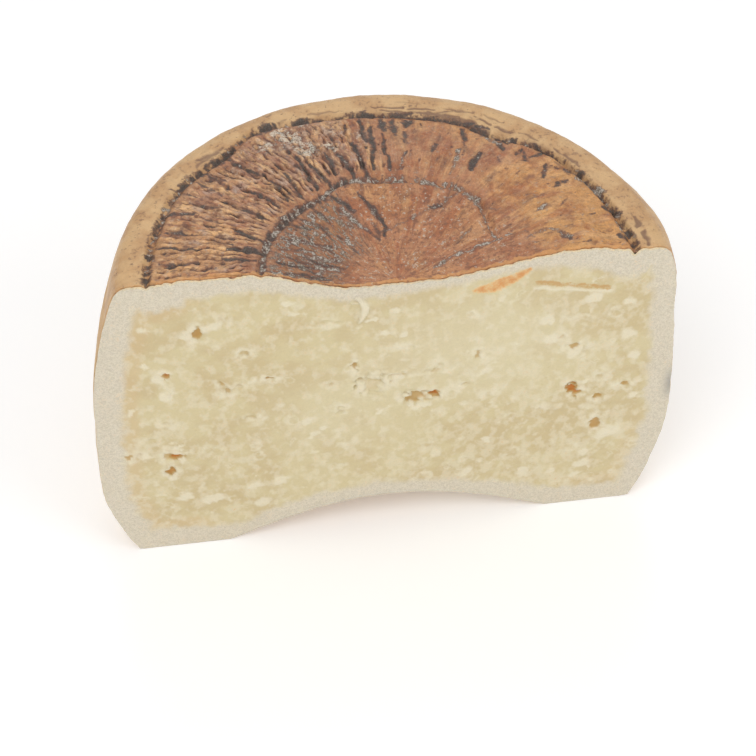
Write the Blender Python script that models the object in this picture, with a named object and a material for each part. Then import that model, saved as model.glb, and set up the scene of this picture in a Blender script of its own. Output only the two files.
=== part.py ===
"""Half a wheel of basket-aged hard sheep's cheese, standing on its own base.

The wheel was pressed in a reed basket and turned in it, so both flat sides are
sunken in the middle and the top carries the reeds' fine radial ridges. It is cut
straight down through its axis. The cut face looks along -Y and X runs along it.

Units are metres and +Z is up. The origin is the middle of the bottom of the
piece's box. An angle of 0 is the right end of the cut, 90 degrees is the back of
the wheel and 180 degrees is the left end.
"""
import math

import bmesh
import bpy
import numpy as np

# Size of the wheel. Each pair is the right end of the cut, then the left end.
TOP_HEIGHT = (0.1422, 0.1456)
DISH_DEPTH = (0.0078, 0.0112)
DISH_INNER_RADIUS = 0.012
DISH_OUTER_RADIUS = (0.0680, 0.0560)

# Rounded band round the top's edge, with the groove that the basket's rim left.
# The rounding's rows are offsets from the rim's radius and height. A path is an
# angle in degrees and the radius there.
RIM_HEIGHT = (0.1394, 0.1450)
RIM_RADIUS = (0.0968, 0.0960)
RIM_BACK_SWELL = 0.0008
RIM_ROUNDING = ((-0.0040, 0.0), (-0.0010, -0.0009), (0.0012, -0.0026))
GROOVE_PATH = (
    (0, 0.0853), (12, 0.0845), (30, 0.0846), (42, 0.0848), (55, 0.0808), (66, 0.0825),
    (82, 0.0825), (98, 0.0840), (108, 0.0856), (119, 0.0884), (130, 0.0845),
    (147, 0.0864), (160, 0.0857), (180, 0.0865),
)
GROOVE_DEPTH = (0.0026, 0.0014)
GROOVE_HALF_WIDTH = 0.0032

# Ring pressed into the top by the middle of the basket. It fades out before the
# right end of the cut.
RING_PATH = (
    (0, 0.0395), (20, 0.0398), (38, 0.0448), (47, 0.0482), (69, 0.0473), (90, 0.0467),
    (104, 0.0480), (120, 0.0452), (138, 0.0445), (155, 0.0456), (180, 0.0472),
)
RING_DEPTH = 0.0012
RING_HALF_WIDTH = 0.0022
RING_START = math.radians(18)
RING_FADE = math.radians(14)

# Reed ridges between the ring and the groove, shallower towards the right.
RIDGES = 84
RIDGE_DEPTH = (0.0005, 0.0011)
RIDGE_FADE_IN = 0.0080
RIDGE_FADE_OUT = 0.0060
RIDGED_ROWS = (0.20, 0.42, 0.64, 0.86, 1.0)
DISH_ROWS = (0.18, 0.36, 0.56, 0.76)
SHOULDER_FALL = 0.7

# Bulging wall, as radius and height from the foot up to the rim.
WALL_RIGHT = (
    (0.0958, 0.0006), (0.1002, 0.0115), (0.1047, 0.0305), (0.1071, 0.0510),
    (0.1056, 0.0790), (0.1039, 0.1015), (0.1012, 0.1240), (0.0990, 0.1340),
)
WALL_LEFT = (
    (0.1030, 0.0006), (0.1073, 0.0100), (0.1129, 0.0310), (0.1132, 0.0530),
    (0.1116, 0.0810), (0.1096, 0.0985), (0.1050, 0.1205), (0.0990, 0.1390),
)
WALL_ROWS = 14
WALL_WAVE = 0.0008
WALL_WAVE_FADE = 0.020

# Low swelling of the upper wall just behind the right end of the cut.
SWELLING = 0.0024
SWELLING_ANGLE = math.radians(13)
SWELLING_SPREAD = math.radians(20)
SWELLING_HEIGHT = 0.1260
SWELLING_TALL = 0.0240

# Flat foot that the piece stands on, round the sunken underside.
FOOT_OUTER_RADIUS = (0.0925, 0.1015)
FOOT_INNER_RADIUS = 0.0640
ARCH_HEIGHT = 0.0170
ARCH_POWER = 1.15
ARCH_ROWS = (0.92, 0.80, 0.62, 0.40, 0.20)

# Pits in the paste: place along the cut and height, then width, height and depth.
PITS = (
    (-0.0714, 0.1188, 0.0040, 0.0036, 0.0014),
    (-0.0842, 0.0979, 0.0034, 0.0030, 0.0012),
    (-0.0476, 0.0918, 0.0040, 0.0032, 0.0013),
    (-0.0834, 0.0537, 0.0042, 0.0050, 0.0018),
    (-0.0868, 0.0448, 0.0050, 0.0036, 0.0016),
    (-0.0612, 0.0875, 0.0046, 0.0032, 0.0012),
    (-0.0159, 0.0940, 0.0048, 0.0044, 0.0016),
    (-0.0205, 0.0725, 0.0040, 0.0034, 0.0013),
    (0.0149, 0.0740, 0.0062, 0.0040, 0.0020),
    (0.0074, 0.0733, 0.0052, 0.0050, 0.0020),
    (0.0674, 0.0681, 0.0046, 0.0062, 0.0018),
    (0.0779, 0.0631, 0.0044, 0.0034, 0.0014),
    (0.0785, 0.0473, 0.0042, 0.0036, 0.0014),
    (0.0880, 0.0683, 0.0032, 0.0042, 0.0012),
)

# Long crack under the rind at the right.
CRACK_CENTRE = (0.0640, 0.1232)
CRACK_SIZE = (0.0270, 0.0024, 0.0016)
CRACK_TILT = math.radians(13)

# Number of steps round the half wheel, fine where the ridges are.
FINE_STEPS = 2 * RIDGES
COARSE_STEPS = FINE_STEPS // 3

# Colour of the rind, roughness and metallic value.
RIND_COLOUR = (0.46, 0.25, 0.10, 1.0)
RIND_ROUGHNESS = 0.75


def left_share(angle):
    """How far an angle lies towards the left end: 0 at the right end, 1 at the left."""
    return (1 - math.cos(angle)) / 2


def between(pair, angle):
    """Value at an angle of a size given for the right end and the left end."""
    right, left = pair
    return right + (left - right) * left_share(angle)


def smooth(value):
    """Soft step: 0 below 0, 1 above 1 and an S-shaped rise between."""
    value = min(max(value, 0.0), 1.0)
    return value * value * (3 - 2 * value)


def hump(offset, half_width):
    """1 in the middle, falling to 0 at the half width on either side."""
    return smooth(1 - abs(offset) / half_width)


def rim_radius(angle):
    return between(RIM_RADIUS, angle) + RIM_BACK_SWELL * math.sin(angle)


def curve_through(points, places):
    """Points of a Catmull-Rom curve through the given ones, at places along it."""
    knots = np.array(points)
    knots = np.vstack([2 * knots[0] - knots[1], knots, 2 * knots[-1] - knots[-2]])
    result = []
    for place in places:
        step = min(int(place), len(points) - 2)
        t = place - step
        a, b, c, d = knots[step:step + 4]
        result.append(0.5 * (2 * b + (c - a) * t + (2 * a - 5 * b + 4 * c - d) * t ** 2
                             + (3 * b - a - 3 * c + d) * t ** 3))
    return np.array(result)


def path_radius(path, angle):
    """Radius of a path at an angle, on a smooth curve through the path's points."""
    degrees = min(math.degrees(angle), 180.0)
    step = sum(1 for start, radius in path[1:-1] if start <= degrees)
    start, end = path[step][0], path[step + 1][0]
    return curve_through(path, [step + (degrees - start) / (end - start)])[0][1]


def ring_radius(angle):
    return path_radius(RING_PATH, angle)


def top_height(radius, angle, ridge_sign):
    """Height of the top: a dish, less the ring, with ridges out to the groove."""
    outer = between(DISH_OUTER_RADIUS, angle)
    rise = smooth((radius - DISH_INNER_RADIUS) / (outer - DISH_INNER_RADIUS))
    height = between(TOP_HEIGHT, angle) - between(DISH_DEPTH, angle) * (1 - rise)
    edge = path_radius(GROOVE_PATH, angle) - GROOVE_HALF_WIDTH
    fall = between(TOP_HEIGHT, angle) - between(RIM_HEIGHT, angle)
    height -= SHOULDER_FALL * fall * smooth((radius - outer) / (edge - outer))
    ring = ring_radius(angle)
    ring_share = smooth((angle - RING_START) / RING_FADE)
    height -= RING_DEPTH * ring_share * hump(radius - ring, RING_HALF_WIDTH)
    ridge_share = smooth((radius - ring) / RIDGE_FADE_IN)
    ridge_share *= smooth((edge + GROOVE_HALF_WIDTH - radius) / RIDGE_FADE_OUT)
    height += ridge_sign * between(RIDGE_DEPTH, angle) / 2 * ridge_share
    return height


WALL_PLACES = np.linspace(0, len(WALL_RIGHT) - 1, WALL_ROWS)
WALL_CURVES = (curve_through(WALL_RIGHT, WALL_PLACES), curve_through(WALL_LEFT, WALL_PLACES))


def inner_top_rows(angle, ridge_sign):
    """Radius and height of the coarse rows from the top's middle to the ring."""
    ring = ring_radius(angle)
    return [(share * ring, top_height(share * ring, angle, 0)) for share in DISH_ROWS]


def ridged_rows(angle, ridge_sign):
    """Radius and height of the fine rows: ring, ridges, groove and rim band."""
    ring = ring_radius(angle)
    groove = path_radius(GROOVE_PATH, angle)
    edge = groove - GROOVE_HALF_WIDTH
    radii = [ring - RING_HALF_WIDTH, ring, ring + RING_HALF_WIDTH]
    radii += [ring + share * (edge - ring) for share in RIDGED_ROWS]
    rows = [(radius, top_height(radius, angle, ridge_sign)) for radius in radii]
    rim_height = between(RIM_HEIGHT, angle)
    rows.append((groove, rim_height - between(GROOVE_DEPTH, angle)))
    rows.append((groove + GROOVE_HALF_WIDTH, rim_height))
    return rows


def wall_lumps(angle, height):
    """How far the wall stands out of its even curve: slow waves and one swelling."""
    wave = math.sin(3 * angle) + 0.6 * math.sin(7 * angle + 4 * height / TOP_HEIGHT[0])
    fade = math.sin(angle) * smooth(height / WALL_WAVE_FADE)
    level = height / TOP_HEIGHT[0]
    swelling = hump(angle - SWELLING_ANGLE, SWELLING_SPREAD)
    swelling *= hump(height - SWELLING_HEIGHT, SWELLING_TALL)
    return (WALL_WAVE * wave * fade + RIM_BACK_SWELL * math.sin(angle) * smooth(level)
            + SWELLING * swelling)


def outer_rows(angle, ridge_sign):
    """Radius and height of the coarse rows: rim, wall, foot and underside."""
    rim = rim_radius(angle)
    rim_height = between(RIM_HEIGHT, angle)
    rows = [(rim + across, rim_height + up) for across, up in RIM_ROUNDING]
    share = left_share(angle)
    wall = WALL_CURVES[0] * (1 - share) + WALL_CURVES[1] * share
    for radius, height in wall[::-1]:
        rows.append((radius + wall_lumps(angle, height), height))
    rows.append((between(FOOT_OUTER_RADIUS, angle), 0.0))
    rows.append((FOOT_INNER_RADIUS, 0.0))
    for share_of_arch in ARCH_ROWS:
        height = ARCH_HEIGHT * (1 - share_of_arch ** 2) ** ARCH_POWER
        rows.append((share_of_arch * FOOT_INNER_RADIUS, height))
    return rows


def add_band(mesh, rows_at, steps):
    """Adds one band's points, each row running from the right end to the left."""
    columns = []
    for step in range(steps + 1):
        angle = math.pi * step / steps
        ridge_sign = 1 if step % 2 == 0 else -1
        column = []
        for radius, height in rows_at(angle, ridge_sign):
            place = (radius * math.cos(angle), radius * math.sin(angle), height)
            column.append(mesh.verts.new(place))
        columns.append(column)
    return [list(row) for row in zip(*columns)]


def join_rows(mesh, inner, outer):
    """Faces between two rows, where one may have several times the other's steps."""
    steps = min(len(inner), len(outer)) - 1
    inner_step = (len(inner) - 1) // steps
    outer_step = (len(outer) - 1) // steps
    for index in range(steps):
        near = inner[index * inner_step:(index + 1) * inner_step + 1]
        far = outer[index * outer_step:(index + 1) * outer_step + 1]
        mesh.faces.new(near[::-1] + far)


def close_middle(mesh, middle, row, upward):
    """Fan of faces between a middle point and the row round it."""
    for first, second in zip(row, row[1:]):
        mesh.faces.new((middle, first, second) if upward else (middle, second, first))


def build_wheel():
    """Closed body of the half wheel: top, wall and underside in rows, and the cut."""
    mesh = bmesh.new()
    rows = add_band(mesh, inner_top_rows, COARSE_STEPS)
    rows += add_band(mesh, ridged_rows, FINE_STEPS)
    rows += add_band(mesh, outer_rows, COARSE_STEPS)
    for inner, outer in zip(rows, rows[1:]):
        join_rows(mesh, inner, outer)
    top_middle = mesh.verts.new((0, 0, top_height(0, math.pi / 2, 0)))
    low_middle = mesh.verts.new((0, 0, ARCH_HEIGHT))
    close_middle(mesh, top_middle, rows[0], True)
    close_middle(mesh, low_middle, rows[-1], False)
    right_edge = [row[0] for row in rows]
    left_edge = [row[-1] for row in rows]
    mesh.faces.new([top_middle] + left_edge + [low_middle] + right_edge[::-1])
    bmesh.ops.recalc_face_normals(mesh, faces=mesh.faces)
    bmesh.ops.triangulate(mesh, faces=mesh.faces)
    return mesh


def build_pits():
    """Rounded cutters that sink the larger pits and the crack into the cut face."""
    mesh = bmesh.new()
    crack = (*CRACK_CENTRE, *CRACK_SIZE)
    for place, height, width, tall, depth in (*PITS, crack):
        made = bmesh.ops.create_icosphere(mesh, subdivisions=1, radius=1.0)["verts"]
        tilt = CRACK_TILT if (place, height) == CRACK_CENTRE else 0.0
        for vert in made:
            across = vert.co.x * width / 2
            up = vert.co.z * tall / 2
            vert.co.x = place + across * math.cos(tilt) + up * math.sin(tilt)
            vert.co.z = height - across * math.sin(tilt) + up * math.cos(tilt)
            vert.co.y *= depth
    return mesh


def new_object(name, mesh, shift):
    """Object made from a bmesh, with its points moved by the shift."""
    bmesh.ops.translate(mesh, verts=mesh.verts, vec=shift)
    data = bpy.data.meshes.new(name)
    mesh.to_mesh(data)
    mesh.free()
    thing = bpy.data.objects.new(name, data)
    bpy.context.scene.collection.objects.link(thing)
    return thing


def rind_material():
    """Ochre rind, the finish that covers most of the piece."""
    material = bpy.data.materials.new("rind")
    material.use_nodes = True
    shader = material.node_tree.nodes["Principled BSDF"]
    shader.inputs["Base Color"].default_value = RIND_COLOUR
    shader.inputs["Roughness"].default_value = RIND_ROUGHNESS
    shader.inputs["Metallic"].default_value = 0.0
    return material


for old in list(bpy.data.objects):
    bpy.data.objects.remove(old, do_unlink=True)

wheel_mesh = build_wheel()
corners = np.array([vert.co[:] for vert in wheel_mesh.verts])
low, high = corners.min(axis=0), corners.max(axis=0)
to_origin = (-(low[0] + high[0]) / 2, -(low[1] + high[1]) / 2, -low[2])

wheel = new_object("half_wheel", wheel_mesh, to_origin)
wheel.data.materials.append(rind_material())
wheel.data.shade_smooth()
wheel.data.set_sharp_from_angle(angle=math.radians(35))

pits = new_object("pit_cutter", build_pits(), to_origin)
pits.hide_render = True
pits.display_type = "WIRE"

cut = wheel.modifiers.new("pits", "BOOLEAN")
cut.operation = "DIFFERENCE"
cut.solver = "EXACT"
cut.object = pits
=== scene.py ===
"""Looks of half a wheel of basket-aged hard sheep's cheese, standing on its base.

Metres, +Z up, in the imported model's frame. Angles run round the wheel's own axis: 0 is the
right end of the cut, 90 degrees the back of the wheel and 180 degrees the left end. The cut
face looks along -Y.
"""
import math

import bpy
import numpy as np
from mathutils import Matrix, Vector


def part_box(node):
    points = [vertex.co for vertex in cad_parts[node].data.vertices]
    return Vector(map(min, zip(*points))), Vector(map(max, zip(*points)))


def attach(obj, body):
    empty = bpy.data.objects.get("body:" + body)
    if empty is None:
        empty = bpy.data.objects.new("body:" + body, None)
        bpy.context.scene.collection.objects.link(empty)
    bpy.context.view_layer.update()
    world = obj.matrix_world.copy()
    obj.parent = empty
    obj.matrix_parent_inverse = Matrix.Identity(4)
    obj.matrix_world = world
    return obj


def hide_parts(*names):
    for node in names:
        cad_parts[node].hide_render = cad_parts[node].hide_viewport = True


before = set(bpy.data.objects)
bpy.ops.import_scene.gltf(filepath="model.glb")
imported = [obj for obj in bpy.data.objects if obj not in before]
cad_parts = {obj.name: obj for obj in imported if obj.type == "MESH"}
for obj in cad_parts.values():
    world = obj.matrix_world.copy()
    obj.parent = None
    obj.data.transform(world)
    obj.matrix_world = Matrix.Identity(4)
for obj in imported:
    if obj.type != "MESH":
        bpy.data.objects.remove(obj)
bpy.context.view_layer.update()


# Top crust. The sunken top of the wheel, dried to a brown skin that keeps the print of the
# reed basket: fine radial ridges, a ring pressed in by the middle of the basket and a groove
# left by its rim. Dark mould has settled in the hollows and a chalky bloom lies on it.

mm = 0.001
wheel_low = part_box("half_wheel")[0]
LEFT_REACH = 0.1132
AXIS = np.array([wheel_low.x + LEFT_REACH, wheel_low.y, wheel_low.z])

TOP_HEIGHT = (0.1422, 0.1456)
DISH_DEPTH = (0.0078, 0.0112)
DISH_INNER_RADIUS = 0.012
DISH_OUTER_RADIUS = (0.0680, 0.0560)
RIM_HEIGHT = (0.1394, 0.1450)
RIM_RADIUS = (0.0968, 0.0960)
RIM_BACK_SWELL = 0.0008
RIM_ROUNDING = ((-0.0040, 0.0), (-0.0010, -0.0009), (0.0012, -0.0026))
GROOVE_PATH = (
    (0, 0.0853), (12, 0.0845), (30, 0.0846), (42, 0.0848), (55, 0.0808), (66, 0.0825),
    (82, 0.0825), (98, 0.0840), (108, 0.0856), (119, 0.0884), (130, 0.0845),
    (147, 0.0864), (160, 0.0857), (180, 0.0865),
)
GROOVE_DEPTH = (0.0024, 0.0016)
GROOVE_HALF_WIDTH = 0.0022
SHOULDER_FALL = 0.7
SHOULDER_WIDTH = 0.0032
RING_PATH = (
    (0, 0.0395), (20, 0.0398), (38, 0.0448), (47, 0.0482), (69, 0.0473), (90, 0.0467),
    (104, 0.0480), (120, 0.0452), (138, 0.0445), (155, 0.0456), (180, 0.0472),
)
RING_DEPTH = 0.0012
RING_HALF_WIDTH = 0.0020
RING_START = 16
RING_FADE = 10
RIDGES = 84
INNER_RIDGES = 34
RIDGE_DEPTH = (0.0003, 0.0008)

WALL_RIGHT = (
    (0.0958, 0.0006), (0.1002, 0.0115), (0.1047, 0.0305), (0.1071, 0.0510),
    (0.1056, 0.0790), (0.1039, 0.1015), (0.1012, 0.1240), (0.0990, 0.1340),
)
WALL_LEFT = (
    (0.1030, 0.0006), (0.1073, 0.0100), (0.1129, 0.0310), (0.1132, 0.0530),
    (0.1116, 0.0810), (0.1096, 0.0985), (0.1050, 0.1205), (0.0990, 0.1390),
)
WALL_KEYS = 14
WALL_WAVE = 0.0008
WALL_WAVE_FADE = 0.020
SWELLING = 0.0024
SWELLING_ANGLE = math.radians(13)
SWELLING_SPREAD = math.radians(20)
SWELLING_HEIGHT = 0.1260
SWELLING_TALL = 0.0240

# Where the top crust's mesh ends and the wall's begins, counted in keys down the curve.
SEAM_KEY = 4.0
NORMALS_PER_KEY = 6
FOOT_KEY = len(RIM_ROUNDING) + WALL_KEYS - 1
SKIN_THICKNESS = 0.0018
CUT_RECESS = 0.00015
SHARP_EDGE = math.radians(68)
# The rim band's dents start at this radius, and are full a little further out.
DENTS_START = 0.080
DENTS_FADE = 0.010


def left_share(angle):
    """0 at the right end of the cut, 1 at the left end, following the cosine between."""
    return (1 - np.cos(angle)) / 2


def between(pair, angle):
    """A size given for the right end and the left end, blended by the left share."""
    right, left = pair
    return right + (left - right) * left_share(angle)


def smooth(value):
    """Soft step: 0 below 0, 1 above 1, and 3v^2 - 2v^3 between."""
    value = np.clip(value, 0.0, 1.0)
    return value * value * (3 - 2 * value)


def hump(offset, half_width):
    """1 where the offset is 0, falling by a soft step to 0 at the half width."""
    return smooth(1 - np.abs(offset) / half_width)


def curve_through(knots, places):
    """Catmull-Rom curve through the knots, at places counted in knots from the first."""
    knots = np.asarray(knots, float)
    knots = np.concatenate([2 * knots[:1] - knots[1:2], knots, 2 * knots[-1:] - knots[-2:-1]])
    step = np.clip(places.astype(int), 0, len(knots) - 4)
    t = (places - step).reshape((-1,) + (1,) * (knots.ndim - 1))
    a, b, c, d = (knots[step + shift] for shift in range(4))
    return 0.5 * (2 * b + (c - a) * t + (2 * a - 5 * b + 4 * c - d) * t ** 2
                  + (3 * b - a - 3 * c + d) * t ** 3)


def path_radius(path, angle):
    """Radius at an angle on the smooth curve through a path of (degrees, radius)."""
    degrees, radii = np.array(path).T
    places = np.interp(np.degrees(angle), degrees, np.arange(len(path)))
    return curve_through(radii, places.ravel()).reshape(places.shape)


def noise(place, size, seed, octaves=3):
    """Value noise from 0 to 1: random values on a lattice of one size, blended softly, with
    each octave half the size and half the weight of the one before."""
    total = 0.0
    for octave in range(octaves):
        table = np.random.default_rng(seed + octave).random((64, 64, 64))
        scaled = [np.asarray(v, float) / size * 2 ** octave for v in place]
        corner = [np.floor(v).astype(int) for v in scaled]
        part = [smooth(v - c) for v, c in zip(scaled, corner)]
        value = 0.0
        for i in (0, 1):
            for j in (0, 1):
                for k in (0, 1):
                    weight = ((part[0] if i else 1 - part[0]) * (part[1] if j else 1 - part[1])
                              * (part[2] if k else 1 - part[2]))
                    value = value + weight * table[(corner[0] + i) % 64, (corner[1] + j) % 64,
                                                   (corner[2] + k) % 64]
        total = total + value * 0.5 ** octave
    return total / (2 - 0.5 ** (octaves - 1))


def contrast(value, gain):
    """Noise pulled away from its middle by a gain and kept within 0 and 1."""
    return np.clip((value - 0.5) * gain + 0.5, 0, 1)


def dish_height(radius, angle):
    """The top without its print: a soft-edged dish, then the shoulder towards the rim."""
    outer = between(DISH_OUTER_RADIUS, angle)
    rise = smooth((radius - DISH_INNER_RADIUS) / (outer - DISH_INNER_RADIUS))
    height = between(TOP_HEIGHT, angle) - between(DISH_DEPTH, angle) * (1 - rise)
    fall = between(TOP_HEIGHT, angle) - between(RIM_HEIGHT, angle)
    groove = path_radius(GROOVE_PATH, angle)
    edge = groove - SHOULDER_WIDTH
    height = height - SHOULDER_FALL * fall * smooth((radius - outer) / (edge - outer))
    height = height - (1 - SHOULDER_FALL) * fall * smooth((radius - edge) / SHOULDER_WIDTH)
    return height


def pressed_print(radius, angle, groove_width=GROOVE_HALF_WIDTH, ring_width=RING_HALF_WIDTH):
    """How deep the basket's ring and rim are pressed in: a soft hump across each path."""
    ring_share = smooth((np.degrees(angle) - RING_START) / RING_FADE)
    ring = RING_DEPTH * ring_share * hump(radius - path_radius(RING_PATH, angle), ring_width)
    groove = between(GROOVE_DEPTH, angle) * hump(radius - path_radius(GROOVE_PATH, angle),
                                                 groove_width)
    return ring + groove


def outer_curve(keys, angle):
    """Radius and height of the rim's rounding and the wall, by keys counted down from the
    rim: the right end's and the left end's curves, blended round the wheel, plus slow waves
    and one swelling. The result has a row for each key and a column for each angle."""
    rim = between(RIM_RADIUS, angle) + RIM_BACK_SWELL * np.sin(angle)
    rounding = [np.stack([rim + across, between(RIM_HEIGHT, angle) + up], -1)
                for across, up in RIM_ROUNDING]
    places = np.linspace(0, len(WALL_RIGHT) - 1, WALL_KEYS)
    right, left = curve_through(WALL_RIGHT, places), curve_through(WALL_LEFT, places)
    share = left_share(angle)[None, :, None]
    wall = (right[:, None] * (1 - share) + left[:, None] * share)[::-1]
    radius, height = wall[..., 0], wall[..., 1]
    level = height / TOP_HEIGHT[0]
    wave = np.sin(3 * angle) + 0.6 * np.sin(7 * angle + 4 * level)
    swelling = hump(angle - SWELLING_ANGLE, SWELLING_SPREAD)
    swelling = swelling * hump(height - SWELLING_HEIGHT, SWELLING_TALL)
    radius = (radius + WALL_WAVE * wave * np.sin(angle) * smooth(height / WALL_WAVE_FADE)
              + RIM_BACK_SWELL * np.sin(angle) * smooth(level) + SWELLING * swelling)
    knots = np.concatenate([np.stack(rounding), np.stack([radius, height], -1)])
    return curve_through(knots, np.asarray(keys, float))


# Marks of mould laid in the basket's print, each from one angle and radius to another, with
# its half width and its darkness. Angles are degrees and radii and widths are millimetres.
DARK_STROKES = (
    (128, 67, 132, 50, 0.9, 0.9), (123, 62, 126, 48, 1.0, 0.9), (115, 68, 118, 49, 1.1, 1.0),
    (113, 61, 111, 47, 1.1, 1.0), (106, 64, 106, 52, 1.1, 0.9), (102, 62, 100, 49, 1.2, 1.0),
    (96, 67, 95, 49, 1.4, 1.0), (92, 80, 91, 66, 1.3, 1.0), (89, 76, 91, 52, 1.2, 1.0),
    (86, 70, 85, 52, 0.9, 0.8), (114, 44, 108, 35, 1.2, 1.0), (101, 42, 89, 28, 1.0, 1.0),
    (115, 38, 98, 23, 1.2, 0.6), (89, 28, 92, 23, 1.0, 0.9), (96, 29, 97, 22, 1.0, 0.6),
    (157, 58, 160, 47, 1.1, 1.0), (166, 59, 167, 48, 1.2, 1.0), (168, 83, 167, 69, 0.7, 1.0),
    (171, 60, 172, 49, 1.1, 0.9), (156, 86, 153, 76, 1.1, 0.9), (131, 84, 129, 66, 0.9, 0.9),
    (138, 84, 139, 72, 0.8, 0.7), (150, 84, 149, 70, 0.8, 0.7), (174, 80, 173, 68, 1.0, 0.8),
    (162, 84, 161, 72, 0.7, 0.8), (146, 68, 147, 52, 0.8, 0.8), (137, 66, 138, 50, 0.8, 0.9),
    (55, 68, 54, 58, 1.5, 1.3), (62, 76, 59, 64, 1.0, 0.5), (52, 78, 50, 74, 1.4, 0.9),
    (37, 79, 33, 71, 1.1, 0.8), (29, 76, 28, 71, 1.0, 0.6), (69, 67, 69, 62, 1.3, 0.9),
    (79, 72, 79, 66, 1.5, 0.7), (83, 79, 82, 71, 2.0, 0.9), (78, 82, 79, 76, 2.2, 1.0),
    (128, 46, 125, 34, 0.8, 0.7), (164, 36, 152, 19, 0.9, 0.7), (153, 42, 138, 28, 1.0, 0.7),
    (143, 43, 133, 35, 0.9, 0.7), (170, 41, 164, 28, 1.0, 0.9), (136, 43, 130, 33, 0.9, 0.6),
    (160, 42, 151, 31, 0.9, 0.6), (176, 38, 172, 25, 1.0, 0.9), (177, 46, 177, 30, 0.8, 0.7),
    (45, 80, 42, 74, 1.3, 0.8), (49, 69, 47, 66, 1.0, 0.4), (22, 72, 20, 66, 0.7, 0.5),
    (66, 82, 62, 84, 1.4, 0.9), (64, 80, 61, 72, 1.3, 0.9), (61, 83, 57, 84, 1.1, 0.9),
    (54, 80, 50, 80, 1.2, 0.9), (46, 80, 46, 75, 1.0, 0.8), (42, 78, 41, 83, 1.4, 0.8),
    (44, 85, 38, 85, 1.3, 1.0), (29, 73, 29, 78, 1.2, 0.8), (33, 82, 29, 84, 1.3, 0.9),
    (22, 84, 19, 85, 1.1, 0.9), (16, 82, 13, 86, 1.6, 1.0), (5, 81, 2, 84, 1.4, 1.0),
    (62, 37, 58, 39, 0.9, 1.0), (86, 65, 86, 58, 1.1, 0.9), (85, 55, 84, 51, 0.8, 0.9),
    (79, 58, 78, 61, 0.8, 0.7), (81, 51, 79, 53, 0.7, 0.7), (86, 79, 85, 73, 2.0, 1.0),
    (77, 81, 68, 84, 1.2, 0.9), (88, 83, 78, 85, 1.3, 0.9), (130, 82, 131, 67, 0.9, 0.8),
    (132, 85, 126, 85, 1.0, 1.0), (14, 74, 14, 77, 0.5, 0.6), (7, 75, 6, 77, 0.5, 0.6),
    (3, 67, 3, 71, 0.6, 0.6), (44, 65, 43, 65, 0.7, 0.6), (9, 61, 5, 63, 1.2, 0.7),
    (142, 85, 143, 71, 0.8, 0.7), (137, 85, 138, 72, 0.7, 0.6), (147, 89, 147, 79, 0.7, 0.6),
    (161, 81, 161, 70, 0.7, 0.8), (173, 82, 174, 71, 0.7, 0.8), (163, 68, 164, 58, 0.8, 0.7),
    (154, 73, 154, 65, 0.7, 0.7),
)
GREY_STROKES = (
    (61, 67, 60, 53, 0.9, 0.8), (46, 48, 38, 45, 1.4, 1.0), (38, 45, 25, 40, 0.6, 0.9),
    (25, 40, 18, 40, 0.8, 0.9), (18, 46, 18, 38, 0.8, 0.7), (18, 38, 21, 29, 0.9, 0.9),
    (21, 29, 26, 22, 0.9, 0.9), (26, 22, 18, 15, 0.9, 0.9), (53, 46, 61, 37, 0.8, 0.7),
    (61, 37, 76, 29, 0.7, 0.6), (76, 29, 96, 25, 0.7, 0.6), (115, 38, 104, 27, 1.6, 0.9),
    (101, 41, 93, 29, 1.0, 0.5), (158, 32, 146, 22, 1.2, 0.8), (150, 38, 140, 27, 1.3, 0.8),
    (166, 30, 158, 20, 1.4, 0.7), (12, 52, 12, 58, 0.8, 0.7), (12, 58, 6, 64, 1.2, 0.7),
    (55, 47, 70, 47, 1.2, 0.7), (80, 47, 104, 47, 1.3, 0.6), (30, 60, 27, 66, 1.2, 0.4),
    (8, 50, 8, 56, 0.7, 0.5), (16, 50, 11, 52, 0.8, 0.5), (61, 80, 52, 78, 1.6, 0.8),
    (28, 82, 21, 87, 1.5, 0.9), (10, 83, 6, 83, 1.3, 1.0), (22, 59, 23, 63, 1.2, 0.8),
    (12, 50, 13, 55, 1.1, 0.7), (8, 62, 6, 63, 0.9, 0.9), (51, 48, 43, 48, 1.7, 1.0),
    (58, 48, 53, 49, 1.1, 0.9), (72, 47, 65, 48, 1.1, 0.9), (86, 46, 77, 47, 1.1, 0.8),
    (34, 31, 34, 36, 1.0, 0.7), (37, 46, 30, 52, 0.9, 0.5), (80, 51, 79, 60, 0.9, 0.6),
)
BROWN_STROKES = (
    (10, 90, 1, 90.5, 1.5, 1.0), (62, 88, 52, 86, 1.2, 0.9), (60, 91, 55, 90, 0.9, 0.6),
    (74, 86, 62, 85, 1.3, 1.0), (88, 89, 72, 88, 0.9, 0.9), (86, 86.5, 66, 86.5, 0.8, 0.9),
    (104, 88.5, 96, 88, 0.8, 0.6), (112, 88, 108, 88.5, 0.8, 0.6), (50, 88, 44, 88, 1.0, 0.7),
    (40, 88.5, 32, 88, 1.0, 0.8), (30, 89, 27, 88.5, 0.8, 0.4), (137, 89, 128, 89, 1.3, 0.7),
    (133, 92, 130, 92, 0.8, 0.4), (143, 91, 140, 91, 0.9, 0.4), (150, 89.5, 146, 90, 0.9, 0.4),
    (155, 91, 152, 91, 0.7, 0.3), (165, 91, 162, 91, 1.2, 0.4), (176, 90, 173, 90.5, 1.2, 0.7),
    (179, 88.5, 178, 89, 1.0, 0.5), (170, 92, 168, 92, 0.8, 0.3), (82, 91, 76, 91, 0.7, 0.5),
    (70, 90, 63, 89.5, 0.8, 0.7), (47, 84, 40, 83, 1.3, 0.8), (36, 82, 30, 81, 1.0, 0.7),
    (54, 87, 51, 87, 0.9, 0.8), (135, 91, 130, 88, 1.3, 0.8), (75, 84, 68, 89, 0.8, 0.7),
)
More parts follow.
